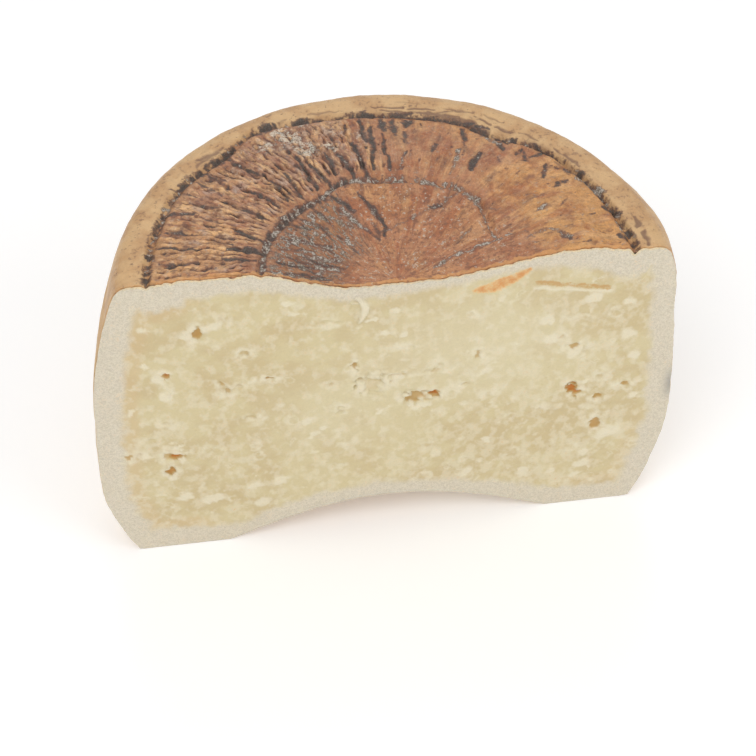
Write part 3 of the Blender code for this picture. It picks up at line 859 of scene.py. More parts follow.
chalk = crust.step(crust.mark("chalk") + 1.6 * (broken - 0.5) + 0.8 * (specks - 0.5), 0.30, 0.90)
crust.lay(CHALK, chalk * 0.75)
edge = crust.step(crust.mark("edge") + 1.6 * (broken - 0.5) + 0.8 * (soft - 0.5), 0.35, 1.0)
crust.lay(EDGE_ORANGE, edge * (0.55 - 0.40 * tan))
crust.done(rind_top, 0.34 + 0.30 * mottle, 0.4 * broken + 0.3 * crumbs + 0.3 * specks, 0.6 * mm,
           {"Specular IOR Level": 0.5})


# Wall and underside. The crust round the side of the wheel and under it: smoother, tan to
# ochre, with a few soft dents and stains, a flat foot and the underside's own sunken print.

FOOT_OUTER_RADIUS = (0.0925, 0.1015)
FOOT_INNER_RADIUS = 0.0640
ARCH_HEIGHT = 0.0176
ARCH_SHIFT = 0.0028
ARCH_SHIFT_RADIUS = 0.092
ARCH_SHIFT_FADE = 0.030
ARCH_SHIFT_TOP = 0.030
LOWEST_WALL = 0.0003
ARCH_POWER = 1.15


def moved_arch(points):
    """Points of the underside moved with its hollow, whose middle lies left of the axis:
    by a soft step from the foot's outer edge inwards."""
    moved = points.copy()
    radius = np.hypot(points[..., 0], points[..., 1])
    inwards = smooth((ARCH_SHIFT_RADIUS - radius) / ARCH_SHIFT_FADE)
    moved[..., 0] -= ARCH_SHIFT * inwards * smooth((ARCH_SHIFT_TOP - points[..., 2]) / 0.010)
    return moved


def underside(share, angle):
    """Radius and height from the foot's outer edge, at share 0, over its flat ring at 1, to
    the axis at 2: a flat ring and then a soft arch."""
    outer = between(FOOT_OUTER_RADIUS, angle)
    flat = outer + (FOOT_INNER_RADIUS - outer) * np.clip(share, 0, 1)[:, None]
    arch = np.clip(2 - share, 0, 1)[:, None]
    radius = np.where(share[:, None] <= 1, flat, FOOT_INNER_RADIUS * arch)
    height = np.where(share[:, None] <= 1, 0.0, ARCH_HEIGHT * (1 - arch ** 2) ** ARCH_POWER)
    return np.stack([radius, height + 0 * radius], -1)


# Mesh sizes: columns round the wall and round the hollow; rows down the wall, across the
# foot's ring and over the hollow; and rows down the wall's inner side.
WALL_COLUMNS, ARCH_COLUMNS = 300, 150
WALL_ROWS, FOOT_ROWS, ARCH_ROWS = 122, 18, 40
INNER_WALL_ROWS = 25

angle = np.linspace(0, np.pi, WALL_COLUMNS)
wall_keys = np.linspace(SEAM_KEY, FOOT_KEY, WALL_ROWS)
wall = edge_curve(wall_keys, angle)[0]
wall[..., 1] = np.maximum(wall[..., 1], LOWEST_WALL)
foot = underside(np.linspace(0, 1, FOOT_ROWS), angle)
arch_angle = np.linspace(0, np.pi, ARCH_COLUMNS)
arch = underside(np.linspace(1, 1.985, ARCH_ROWS)[1:], arch_angle)
grids = [turned(wall[..., 0], angle, wall[..., 1]), turned(foot[..., 0], angle, foot[..., 1]),
         turned(arch[..., 0], arch_angle, arch[..., 1])]
outer_rows = numbered(grids, 0)
outer_rows.append(outer_rows[-1][-1:] + 1)
outer = np.concatenate([grid.reshape(-1, 3) for grid in grids] + [[[0.0, 0.0, ARCH_HEIGHT]]])
outer = moved_arch(behind_cut(outer, ragged_recess(outer)))

inner_angle = np.linspace(0, np.pi, INNER_COLUMNS)
inner_share = np.arange(INNER_WALL_ROWS) / (INNER_WALL_ROWS - 0.5)
inner_wall = outer_curve(SEAM_KEY + (FOOT_KEY - SEAM_KEY) * inner_share, inner_angle)
inner_wall[..., 0] -= SKIN_THICKNESS
inner_wall[-1, :, 1] = SKIN_THICKNESS
inner_share = np.concatenate([np.linspace(0.1, 0.85, 4), np.linspace(1.08, 1.95, 8)])
inner_arch = underside(inner_share, inner_angle)
inner_arch[..., 1] += SKIN_THICKNESS
inner = turned(np.concatenate([inner_wall[..., 0], inner_arch[..., 0]]), inner_angle,
               np.concatenate([inner_wall[..., 1], inner_arch[..., 1]]))
inner_rows = numbered([inner], len(outer))
inner_rows.append(inner_rows[-1][-1:] + 1)
inner = np.concatenate([inner.reshape(-1, 3), [[0.0, 0.0, ARCH_HEIGHT + SKIN_THICKNESS]]])
points = np.concatenate([outer, moved_arch(behind_cut(inner, CUT_RECESS))])

# The flat map: the wall in the upper part, by angle and height, and below it the underside
# as a half disc with the hidden inner side in the corner beside it.
turn = np.arctan2(np.maximum(points[:, 1], 0), points[:, 0]) / np.pi
MAP_HEIGHT = 0.15
wall_flat = np.stack([0.005 + 0.99 * turn, 0.36 + 0.63 * points[:, 2] / MAP_HEIGHT], -1)
base_flat = half_disc(points, np.hypot(points[:, 0], points[:, 1]), (0.5, 0.02), (4.2, 2.9))
inner_place = np.concatenate([np.zeros(len(outer)), np.linspace(0, 1, len(inner))])
inner_flat = np.stack([0.002 + 0.05 * turn, 0.20 + 0.13 * inner_place], -1)
end_flat = ends_map(points, len(outer))
wall_rows, base_rows = outer_rows[:WALL_ROWS], outer_rows[WALL_ROWS - 1:]
patches = skin_patches(outer_rows, inner_rows, wall_flat, inner_flat, end_flat)
patches = [(faces, flat) for faces, flat in patches if flat is not wall_flat]
patches += [(faces, wall_flat) for faces in surface_faces(wall_rows)]
patches += [(faces, base_flat) for faces in surface_faces(base_rows)]
place = tuple(points.T / mm)
stain = noise(place, 14.0, 301)
marks = {"stain": stain, "pale": noise(place, 26.0, 311),
         "spot": smooth((noise(place, 3.2, 321, 3) - 0.66) / 0.16),
         "upper": smooth((points[:, 2] / mm - 112) / 20)}
rind_side = new_piece("rind_side", points, patches, marks)
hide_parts("half_wheel")

WALL_TAN = display_colour(207, 172, 124)
WALL_PALE = display_colour(214, 190, 152)
WALL_BROWN = display_colour(168, 124, 78)

wall_crust = Finish("wall_crust")
mottle = wall_crust.grain(3.0 * mm, 3.0)
fine = wall_crust.grain(0.7 * mm, 2.0)
wall_crust.colour = wall_crust.mix(WALL_TAN, WALL_PALE, wall_crust.step(wall_crust.mark("pale"), 0.40, 0.62))
wall_crust.lay(WALL_BROWN, wall_crust.step(wall_crust.mark("stain"), 0.55, 0.75) * 0.5)
soft = wall_crust.grain(9.0 * mm, 3.0)
band = wall_crust.mix(TAN, TAN_DEEP, wall_crust.step(soft, 0.40, 0.62))
wall_crust.lay(band, wall_crust.mark("upper"))
spot = wall_crust.step(wall_crust.mark("spot") + 0.9 * (mottle - 0.5), 0.15, 0.95)
wall_crust.lay(PURPLE_BROWN, spot * 0.32)
wall_crust.brighten(0.80 + 0.26 * mottle + 0.14 * fine)
wall_crust.done(rind_side, 0.55 + 0.2 * mottle, 0.5 * mottle + 0.5 * fine, 0.22 * mm,
                 {"Specular IOR Level": 0.4})


# Paste. The cheese itself, cut clean through the axis: straw-coloured and crumbly, whiter
# under the crust, with pale flecks of protein crystals, small torn pits and one long crack.

TOP_STEPS = 176
WALL_STEPS = 232
CORE_INSET = 0.0021


def profile(angle):
    """Radius and height from the top's middle over the rim and down the wall to the
    underside's middle, in TOP_STEPS, WALL_STEPS and TOP_STEPS, for each angle."""
    angle = np.atleast_1d(angle)
    corner = outer_curve([0.0], angle)[0, :, 0]
    keys = np.linspace(0, FOOT_KEY, WALL_STEPS + 1)
    share = np.linspace(0, 1, TOP_STEPS + 1)[:, None]
    radius = share * corner
    top = np.stack([radius, top_height(radius, angle)[0]], -1)
    side = edge_curve(keys, angle)[0]
    under = underside(np.linspace(0, 2, TOP_STEPS + 1), angle)
    side[-1] = under[0]
    side[..., 1] = np.maximum(side[..., 1], 0)
    return np.concatenate([top, side[1:], under[1:]])


def inset_profile(angle, inset):
    """The profile moved inwards by an inset along its normals, kept off the axis."""
    line = profile(angle)
    tangent = np.gradient(line, axis=0)
    tangent = tangent / np.maximum(np.linalg.norm(tangent, axis=-1, keepdims=True), 1e-9)
    kernel = np.ones(9) / 9
    for part in (0, 1):
        padded = np.pad(tangent[..., part], ((4, 4), (0, 0)), mode="edge")
        tangent[..., part] = np.apply_along_axis(np.convolve, 0, padded, kernel, "valid")
    tangent = tangent / np.maximum(np.linalg.norm(tangent, axis=-1, keepdims=True), 1e-9)
    line = line - np.stack([-tangent[..., 1], tangent[..., 0]], -1) * np.reshape(inset, (-1, 1, 1))
    line[0, :, 0] = 0
    line[-1, :, 0] = 0
    return line


def edge_inset(count, seed):
    """How thin the crust shows round the cut: a fine, ragged line, thicker on top."""
    step = np.arange(count)
    on_top = smooth((TOP_STEPS + 6 - step) / 10)
    rough = contrast(noise((step / 3.0, step * 0.0, step * 0.0), 1.0, seed, 3), 2.2)
    return (0.12 + 0.10 * rough + on_top * (0.12 + 0.42 * rough)) * mm


steps = 2 * TOP_STEPS + WALL_STEPS + 1
right_line = inset_profile(0.0, edge_inset(steps, 401))[:, 0]
left_line = inset_profile(np.pi, edge_inset(steps, 411))[:, 0] * (-1, 1)
middle_top = (right_line[0] + left_line[0]) / 2
middle_low = (right_line[-1] + left_line[-1]) / 2
right_line[0] = left_line[0] = middle_top
right_line[-1] = left_line[-1] = middle_low


def evened(line):
    """A side that runs down the cut, with each height averaged over nine points, so that it
    only falls. Its ends stay where they are."""
    padded = np.pad(line[:, 1], 4, mode="reflect", reflect_type="odd")
    return np.stack([line[:, 0], np.convolve(padded, np.ones(9) / 9, "valid")], -1)


def stepped(line):
    """A side that runs across the cut, with its points evenly spaced across."""
    across = np.maximum.accumulate(line[:, 0]) + np.arange(len(line)) * 1e-9
    even = np.linspace(line[0, 0], line[-1, 0], len(line))
    return np.stack([even, np.interp(even, across, line[:, 1])], -1)


# The cut face is a patch stretched between its four sides. The left and the right one bend
# it only close to themselves, by a high power of the share across.
FOOT_STEP = TOP_STEPS + WALL_STEPS
SIDE_POWER = 12
top_side = np.concatenate([left_line[TOP_STEPS:0:-1], right_line[:TOP_STEPS + 1]])
low_side = np.concatenate([left_line[FOOT_STEP:-1], right_line[:FOOT_STEP - 1:-1]])
left_side = left_line[TOP_STEPS:FOOT_STEP + 1]
right_side = right_line[TOP_STEPS:FOOT_STEP + 1]
top_side, low_side = stepped(top_side), stepped(low_side)
left_side, right_side = evened(left_side), evened(right_side)
u = np.linspace(0, 1, 2 * TOP_STEPS + 1)[None, :, None]
v = np.linspace(0, 1, WALL_STEPS + 1)[:, None, None]
near_left, near_right = (1 - u) ** SIDE_POWER, u ** SIDE_POWER
face = ((1 - v) * top_side[None] + v * low_side[None]
        + near_left * (left_side[:, None] - (1 - v) * top_side[0] - v * low_side[0])
        + near_right * (right_side[:, None] - (1 - v) * top_side[-1] - v * low_side[-1]))


def fallen(side):
    """How far down a side of the cut each point lies, from 0 at its top to 1 at its foot."""
    return (side[0, 1] - side[:, 1, None, None]) / (side[0, 1] - side[-1, 1])


fall = (v + near_left * (fallen(left_side) - v) + near_right * (fallen(right_side) - v))[..., 0]
face[..., 1] = top_side[:, 1] + (low_side[:, 1] - top_side[:, 1]) * fall

face = moved_arch(np.stack([face[..., 0], 0 * face[..., 0], face[..., 1]], -1))[..., ::2]
outline = np.concatenate([right_line, left_line[::-1]]) / mm
face_x, face_z = face[..., 0].ravel() / mm, face[..., 1].ravel() / mm


def outline_distance(x, z):
    """Distance to the nearest point of the outline, and that point's number."""
    distance, nearest = np.empty_like(x), np.empty(x.shape, int)
    for start in range(0, len(x), 4000):
        part = slice(start, start + 4000)
        gap = np.hypot(x[part, None] - outline[None, :, 0], z[part, None] - outline[None, :, 1])
        nearest[part] = gap.argmin(1)
        distance[part] = gap.min(1)
    return distance, nearest


# How far the white zone reaches in from the crust, in millimetres, along the top and along
# the bottom of the cut by the place across it, and at its two sides.
WHITE_TOP = ((-104, 12), (-84, 12), (-72, 9), (-55, 7), (-30, 6), (0, 5.4), (15, 3.6), (30, 3.6),
             (45, 4), (60, 7), (75, 10), (90, 12), (100, 11))
WHITE_LOW = ((-100, 11), (-80, 11), (-60, 8), (-30, 9), (0, 7.5), (20, 6.5), (60, 9.5), (95, 10))
WHITE_LEFT = 9.8
WHITE_RIGHT = 8.8


def white_reach():
    """The white zone's reach at each point of the outline, evened out round the corners."""
    x, z = outline.T
    top = np.interp(x, *np.array(WHITE_TOP, float).T)
    low = np.interp(x, *np.array(WHITE_LOW, float).T)
    side = np.where(x < 0, WHITE_LEFT, WHITE_RIGHT)
    step = np.concatenate([np.arange(steps), np.arange(steps)[::-1]])
    reach = np.where(step < TOP_STEPS, top, np.where(step > FOOT_STEP, low, side))
    kernel = np.ones(31) / 31
    return np.convolve(np.pad(reach, 15, mode="wrap"), kernel, "valid")


distance, nearest = outline_distance(face_x, face_z)
face_place = (face_x, face_z, np.zeros_like(face_x))
reach = white_reach()[nearest]
fuzz = noise(face_place, 4.0, 421) - 0.5
white = 1 - smooth((distance - reach * (1 + 0.45 * fuzz) + 2.6) / 5.6)

# Pits and torn holes in the paste: place across and height, half width, half height, depth
# and how ochre the inside is. Millimetres.
PITS = (
    (-71.4, 118.8, 1.5, 2.4, 1.4, 0.8), (-84.2, 98.0, 1.6, 1.6, 1.3, 1.0),
    (-47.6, 91.6, 1.8, 0.6, 0.9, 0.8), (-55.0, 106.2, 1.5, 1.0, 0.8, 0.4),
    (-61.5, 123.8, 1.0, 1.4, 0.6, 0.3), (-63.7, 91.1, 1.1, 0.9, 0.8, 0.5),
    (-62.4, 87.0, 1.4, 1.0, 0.9, 0.5), (-58.0, 89.2, 1.6, 0.7, 0.8, 0.4),
    (-83.3, 53.8, 2.0, 1.3, 1.7, 1.1), (-87.0, 55.0, 1.6, 2.2, 0.8, 0.5),
    (-86.6, 44.8, 1.3, 1.8, 1.5, 0.9), (-101.9, 55.6, 1.2, 1.6, 0.8, 0.6),
    (-98.0, 57.1, 1.1, 1.4, 0.7, 0.3), (-83.2, 88.5, 0.9, 1.1, 0.7, 0.4),
    (-55.1, 71.3, 1.8, 0.7, 0.7, 0.3), (-70.6, 55.2, 0.9, 0.9, 0.5, 0.3),
    (-85.2, 73.0, 1.4, 0.8, 0.6, 0.3), (-91.9, 64.8, 1.2, 1.0, 0.5, 0.2),
    (-15.4, 93.2, 1.0, 2.2, 1.1, 0.6), (-24.7, 117.1, 2.6, 1.0, 0.6, 0.2),
    (-23.5, 84.7, 1.1, 0.7, 0.6, 0.4), (-21.3, 69.5, 1.2, 1.0, 0.7, 0.3),
    (-20.7, 72.4, 0.8, 0.7, 0.6, 0.3), (-9.4, 83.0, 4.4, 3.6, 1.6, 0.35),
    (0.2, 86.3, 3.0, 0.8, 0.7, 0.4), (-1.5, 83.0, 1.2, 0.9, 0.7, 0.4),
    (-5.5, 90.3, 1.4, 0.6, 0.5, 0.3), (3.6, 101.0, 2.6, 0.8, 0.5, 0.2),
    (15.0, 74.2, 2.1, 1.4, 2.0, 1.3), (8.0, 73.2, 4.0, 2.6, 1.8, 0.6),
    (13.9, 86.9, 3.0, 0.7, 0.6, 0.4), (16.4, 89.0, 1.0, 1.0, 0.6, 0.3),
    (30.2, 93.2, 0.8, 1.4, 0.8, 0.5), (25.4, 78.0, 1.2, 0.6, 0.6, 0.4),
    (67.1, 68.8, 1.8, 2.0, 1.8, 1.2), (69.6, 66.0, 1.4, 1.6, 1.4, 1.0),
    (67.0, 92.2, 2.0, 0.9, 1.0, 0.6), (71.2, 89.0, 1.5, 1.8, 0.8, 0.3),
    (78.1, 63.1, 1.2, 0.9, 1.0, 0.7), (78.6, 46.6, 1.6, 2.4, 1.4, 0.8),
    (88.0, 68.4, 1.8, 1.0, 1.0, 0.7), (78.7, 75.1, 1.0, 1.6, 0.6, 0.3),
    (61.5, 97.8, 1.0, 0.8, 0.6, 0.4), (56.1, 60.1, 0.8, 0.6, 0.5, 0.4),
    (67.6, 108.4, 2.2, 0.8, 0.5, 0.1), (35.2, 71.4, 1.0, 0.8, 0.5, 0.3),
)
# White flecks that stand out: place across and height, half width and half height.
LARGE_FLECKS = (
    (86.3, 95.9, 3.6, 4.2), (90.3, 84.7, 3.2, 2.8), (83.4, 41.7, 7.0, 3.6), (75.6, 31.0, 2.6, 2.4),
    (71.8, 116.7, 4.2, 2.2), (85.8, 113.0, 2.4, 1.8), (55.6, 108.0, 2.6, 3.2), (35.3, 44.3, 1.6, 2.6),
    (50.8, 23.0, 3.0, 3.2), (62.1, 21.1, 3.2, 2.2), (74.5, 23.8, 4.6, 2.6), (72.1, 17.8, 4.4, 2.0),
    (-36.5, 123.8, 2.2, 2.0), (-38.7, 129.5, 3.6, 1.8), (-3.8, 109.4, 3.4, 2.6), (2.3, 108.1, 2.2, 2.2),
    (-9.3, 116.9, 3.2, 1.6), (-34.1, 65.9, 3.6, 2.2), (-27.6, 60.5, 2.8, 1.6), (-32.1, 57.2, 3.4, 1.6),
    (-6.2, 67.5, 2.6, 1.6), (27.6, 26.3, 3.0, 3.4), (0.1, 120.2, 2.4, 2.0), (-82.1, 29.8, 4.0, 2.6),
    (-71.2, 26.8, 5.0, 2.6), (-44.3, 34.3, 4.2, 2.6), (-54.9, 31.7, 3.6, 2.2), (-52.6, 21.4, 4.6, 3.2),
    (-74.0, 118.5, 3.0, 2.4), (-66.0, 121.5, 5.0, 2.6), (-87.0, 98.0, 3.4, 2.4), (-85.0, 88.0, 2.4, 2.6),
    (-90.1, 123.0, 2.8, 2.0), (-98.2, 81.4, 2.4, 1.6), (-90.1, 104.1, 2.2, 1.8), (10.0, 68.5, 6.0, 1.8),
    (78.0, 50.0, 3.0, 4.0), (66.0, 89.0, 3.0, 4.0), (58.0, 98.0, 3.0, 3.0), (72.0, 72.0, 3.0, 2.0),
    (-95.0, 56.5, 2.6, 3.0), (-82.0, 59.0, 3.6, 1.2), (92.0, 62.0, 2.6, 1.8), (34.0, 84.0, 5.0, 2.4),
)
# Small flecks at random places: how many, and from where to where across and up.
FLECKS = 620
FLECKS_ACROSS = (-104, 98)
FLECKS_UP = (4, 136)


def fleck_fields(x, z):
    """Pale flecks, strongest where crystals are dense, and the sunken middle of those that
    are rings. Each is a soft ellipse leaning up to the right, at a seeded random place."""
    rng = np.random.default_rng(431)
    pale, sunk = np.zeros_like(x), np.zeros_like(x)
    for number in range(FLECKS + len(LARGE_FLECKS)):
        if number < FLECKS:
            cx, cz = rng.uniform(*FLECKS_ACROSS), rng.uniform(*FLECKS_UP)
            wide = rng.uniform(0.5, 1.0) ** 2 * 3.4 + 0.35
            tall = wide * rng.uniform(0.45, 0.9)
            lean = math.radians(rng.normal(26, 26))
            crowd = 0.35 + 0.4 * smooth((90 - cz) / 60) + 0.35 * smooth((cx + 30) / 70)
            strength = rng.uniform(0.2, 0.65) * (rng.random() < crowd)
            hollow = rng.random() < 0.25
        else:
            cx, cz, wide, tall = LARGE_FLECKS[number - FLECKS]
            lean, strength, hollow = 0.3, 0.95, False
            wide, tall = 1.1 * wide, 1.1 * tall
        if strength == 0:
            continue
        near = np.flatnonzero((np.abs(x - cx) < 2 * wide) & (np.abs(z - cz) < 2 * wide))
        along = (x[near] - cx) * math.cos(lean) + (z[near] - cz) * math.sin(lean)
        across = (z[near] - cz) * math.cos(lean) - (x[near] - cx) * math.sin(lean)
        out = np.hypot(along / wide, across / tall)
        if hollow:
            value = hump(out - 0.75, 0.55)
            sunk[near] = np.maximum(sunk[near], strength * hump(out, 0.5))
        else:
            value = smooth(1.25 - out)
        pale[near] = np.maximum(pale[near], strength * value)
    return pale, sunk


def pit_fields(x, z):
    """Pits: how deep each place lies, how ochre it is and the pale halo round each pit."""
    deep, ochre, halo = np.zeros_like(x), np.zeros_like(x), np.zeros_like(x)
    torn = contrast(noise((x, z, np.zeros_like(x)), 1.9, 425, 2), 2.6)
    for cx, cz, wide, tall, depth, colour in PITS:
        out = np.hypot((x - cx) / wide, (z - cz) / tall) / 1.45 + 0.6 * (torn - 0.5)
        inside = smooth((1.15 - out) / 0.75)
        deep = np.maximum(deep, depth * inside)
        ochre = np.maximum(ochre, colour * inside)
        away = (out - 1) * math.sqrt(wide * tall)
        halo = np.maximum(halo, hump(np.maximum(away - 0.5, 0), 3.4) * min(1, 0.6 + 0.5 * colour))
    return deep, ochre, halo * (0.25 + 0.75 * torn)


warp_x = 4.0 * (noise(face_place, 2.4, 441) - 0.5)
warp_z = 4.0 * (noise(face_place, 2.4, 451) - 0.5)
pale, sunk = fleck_fields(face_x + warp_x, face_z + warp_z)
deep, pit_ochre, halo = pit_fields(face_x + 0.6 * warp_x, face_z + 0.6 * warp_z)
inside = smooth((distance - 0.5 * reach) / 4)
pale = np.clip(np.maximum(pale, 0.9 * halo) * inside, 0, 1)


def line_field(x, z, route, half_width):
    """1 on a route through points, falling by a soft hump to 0 at its half width."""
    result = np.zeros_like(x)
    for (ax, az), (bx, bz) in zip(route, route[1:]):
        length = (bx - ax) ** 2 + (bz - az) ** 2
        along = np.clip(((x - ax) * (bx - ax) + (z - az) * (bz - az)) / length, 0, 1)
        away = np.hypot(x - ax - along * (bx - ax), z - az - along * (bz - az))
        result = np.maximum(result, hump(away, half_width))
    return result


gx, gz = face_x + 0.25 * warp_x, face_z + 0.25 * warp_z
CRACK = ((50.6, 126.8), (57.5, 125.3), (64.0, 123.9), (73.0, 122.0), (77.4, 120.6))
CRACK_LIP = ((50.1, 124.9), (57.7, 123.2), (67.3, 121.4), (77.9, 119.4))
CRACK_TAIL = ((50.4, 125.3), (48.4, 122.2), (46.1, 118.2))
crack = line_field(gx, gz, CRACK, 1.3)
lip = line_field(gx, gz, CRACK_LIP, 1.1)
tail = line_field(gx, gz, CRACK_TAIL, 0.8)
crumbly = contrast(noise(face_place, 1.5, 461, 2), 2.5)
crack_ochre = line_field(gx, gz, tuple((a, b + 0.9) for a, b in CRACK), 1.3) * (0.35 + 0.65 * crumbly)

# Orange streak of folded-in crust under the top, and a loose shaving left by the knife.
STREAK = ((28.0, 126.2), (34.0, 127.0), (40.0, 129.4), (45.5, 132.4), (48.6, 134.2))
STREAK_HALF = ((27.0, 1.0), (32.0, 2.6), (37.0, 3.6), (42.0, 3.0), (48.6, 1.2))
middle_of_streak = np.interp(gx, *np.array(STREAK).T)
half_of_streak = np.interp(gx, *np.array(STREAK_HALF).T, left=0.01, right=0.01)
streak = smooth((half_of_streak + 0.8 - np.abs(gz - middle_of_streak)) / 2.4)
streak = streak * smooth((gx - 25.5) / 3) * smooth((49.5 - gx) / 2)
streak = streak * (0.60 + 0.40 * contrast(noise(face_place, 2.2, 471, 2), 2.2))
SHAVING = ((-13.9, 128.6), (-11.8, 126.4), (-11.0, 123.3), (-11.5, 120.3), (-12.6, 117.7), (-13.4, 116.1))
SHAVING_HALF = ((116.0, 0.3), (118.5, 0.9), (122.0, 1.5), (126.0, 1.4), (129.0, 1.0))
shaving_x, shaving_z = np.array(SHAVING)[::-1].T
middle_of_shaving = np.interp(face_z, shaving_z, shaving_x)
half_of_shaving = np.interp(face_z, *np.array(SHAVING_HALF).T)
shaving = smooth((half_of_shaving + 0.25 - np.abs(face_x - middle_of_shaving)) / 0.6)
shaving = shaving * smooth((face_z - 115.4) / 1) * smooth((129.3 - face_z) / 1.4)
shaving = np.maximum(shaving, 0.8 * line_field(face_x, face_z, ((-15.8, 126.3), (-12.5, 126.3)), 0.6))

peach = hump(distance - reach - 2, 8) * smooth((-60 - face_x) / 24)
peach = np.maximum(peach, 0.6 * hump(distance - reach - 3, 8) * smooth((face_x - 50) / 24)
                   * smooth((70 - face_z) / 30))
straw = noise(face_place, 13.0, 481)
light = hump(face_x - 30, 62) * hump(face_z - 98, 42) + 0.6 * hump(face_x + 22, 40) * hump(face_z - 70, 36)
crowd = 0.25 + 0.45 * smooth((84 - face_z) / 50) + 0.30 * smooth((face_x + 10) / 70)
crowd = crowd + 0.5 * (noise(face_place, 17.0, 491) - 0.5)
# Border and upper mark a painted highlight: a thin cream line along the top edge of the cut.
border = 1 - smooth((distance - 0.5) / 0.8)
upper = smooth((face_z - 118) / 8)
smear = hump(face_x - 107.5, 6) * hump(face_z - 67, 13)

relief = -0.85 * deep + 0.22 * pale * (0.4 + crumbly) - 0.25 * sunk
relief = relief - 0.12 * crack * crumbly + 0.18 * lip * (0.3 + 0.7 * crumbly)
relief = relief + 0.12 * tail + 0.9 * shaving - 0.25 * streak
relief = relief + 0.45 * (noise(face_place, 4.0, 501) - 0.5)
relief = relief + 0.16 * (noise(face_place, 1.3, 511, 2) - 0.5)
relief = relief * smooth(distance / 1.0)
front = np.stack([face[..., 0], -(relief.reshape(face.shape[:2])) * mm, face[..., 1]], -1)
front_rows = np.arange(front.shape[0] * front.shape[1]).reshape(front.shape[:2])

# The hidden back follows the crust's inner side, in columns at these degrees.
CORE_DEGREES = (1.2, *np.arange(8, 173, 8.2), 178.8)
core_angles = np.radians(CORE_DEGREES)
core = inset_profile(core_angles, np.full(steps, CORE_INSET))
core[..., 1] = np.maximum(core[..., 1], 0)
core[..., 1] = np.where(core[..., 0] < 0.0003, core[..., 1].mean(1, keepdims=True), core[..., 1])
core_points = turned(core[..., 0], core_angles, core[..., 1])[1:-1]
core_first = front_rows.size
core_rows = core_first + np.arange(core_points.shape[0] * core_points.shape[1]).reshape(core_points.shape[:2])
middle_column = TOP_STEPS
right_rim = np.concatenate([front_rows[0, middle_column:], front_rows[1:, -1],
                            front_rows[-1, middle_column:-1][::-1]])
left_rim = np.concatenate([front_rows[0, :middle_column + 1][::-1], front_rows[1:, 0],
                           front_rows[-1, 1:middle_column + 1]])
rows = [right_rim[:1]]
rows += [np.concatenate([[right_rim[k + 1]], core_rows[k], [left_rim[k + 1]]])
         for k in range(len(core_rows))]
rows.append(right_rim[-1:])
points = np.concatenate([front.reshape(-1, 3), moved_arch(core_points).reshape(-1, 3)])
# Metres across and up that fill the cut face's part of the flat map.
CUT_MAP = (0.232, 0.148)
front_flat = np.stack([0.5 + points[:, 0] / CUT_MAP[0], 0.065 + 0.93 * points[:, 2] / CUT_MAP[1]], -1)
back_flat = np.full((len(points), 2), 0.0)
for k, row in enumerate(rows):
    back_flat[row, 0] = 0.002 + 0.996 * k / len(rows)
    back_flat[row, 1] = np.linspace(0.003, 0.052, len(row)) if len(row) > 1 else 0.025
hidden = core_points.shape[0] * core_points.shape[1]
fields = {"white": white, "fleck": pale, "pit": np.clip(pit_ochre, 0, 1.3),
          "crack": np.clip(np.maximum(crack_ochre, 0.6 * crack), 0, 1),
          "lip": np.clip(np.maximum(lip, 0.5 * tail), 0, 1), "streak": streak, "shaving": shaving,
          "peach": peach, "straw": straw, "light": np.clip(light, 0, 1),
          "crowd": np.clip(crowd, 0, 1), "rim": border * upper * smooth((100 - np.abs(face_x)) / 6),
          "smear": smear}
marks = {mark: np.concatenate([value, np.zeros(hidden)]) for mark, value in fields.items()}
patches = [(faces, front_flat) for faces in surface_faces(list(front_rows))]
patches += [(faces, back_flat) for faces in surface_faces(rows)]
paste = new_piece("paste", points, patches, marks)
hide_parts("half_wheel")

STRAW = display_colour(209, 194, 152)
STRAW_LIGHT = display_colour(216, 204, 168)
STRAW_DEEP = display_colour(201, 182, 139)
PEACH = display_colour(206, 176, 132)
WHITE_ZONE = display_colour(216, 206, 186)
WHITE_GAP = display_colour(188, 174, 148)
FLECK_WHITE = display_colour(226, 216, 189)
PORE = display_colour(188, 166, 116)
OCHRE_PIT = display_colour(184, 142, 66)
ORANGE_PIT = display_colour(190, 116, 36)
STREAK_ORANGE = display_colour(208, 140, 76)
STREAK_PALE = display_colour(228, 184, 122)
CRACK_OCHRE = display_colour(194, 150, 86)
# Colour of the painted highlight along the cut's top edge.
PAINTED_EDGE_HIGHLIGHT = display_colour(232, 206, 156)
BLUE_GREY = display_colour(130, 132, 136)

cut = Finish("cut_paste")
fine = cut.grain(0.45 * mm, 2.0)
frost = cut.grain(0.8 * mm, 3.0)
curd = cut.grain(3.3 * mm, 2.5, (1.0, 1.0, 0.80), (0, 0.35, 0), 0.5)
cloud = cut.grain(9.0 * mm, 3.0, (1.0, 1.0, 1.5), (0, 0.35, 0))
pores = cut.grain(2.4 * mm, 2.0, (1.0, 1.0, 1.4), (0, 0.35, 0))
white = cut.step(cut.mark("white") + 0.5 * (curd - 0.5), -0.05, 1.0)
cut.colour = cut.mix(STRAW_DEEP, STRAW, cut.step(0.5 * cut.mark("straw") + 0.5 * cloud, 0.36, 0.60))
cut.lay(STRAW_LIGHT, cut.mark("light") * 0.8)
cut.lay(PEACH, cut.step(cut.mark("peach") + 0.5 * (cloud - 0.5), 0.1, 0.9) * 0.45)
crowd = cut.mark("crowd")
cut.lay(FLECK_WHITE, cut.step(curd + 0.10 * crowd, 0.48, 0.74) * 0.5)
cut.lay(PORE, cut.step(pores, 0.64, 0.76) * crowd * 0.45)
cut.lay(WHITE_ZONE, white)
cut.lay(FLECK_WHITE, cut.step(cut.mark("fleck") + 0.5 * (curd - 0.5), 0.10, 0.85) * 0.85)
streak = cut.mark("streak") + 0.5 * (curd - 0.5) + 0.9 * (frost - 0.5)
cut.lay(STREAK_PALE, cut.step(streak, 0.05, 0.75) * 0.8)
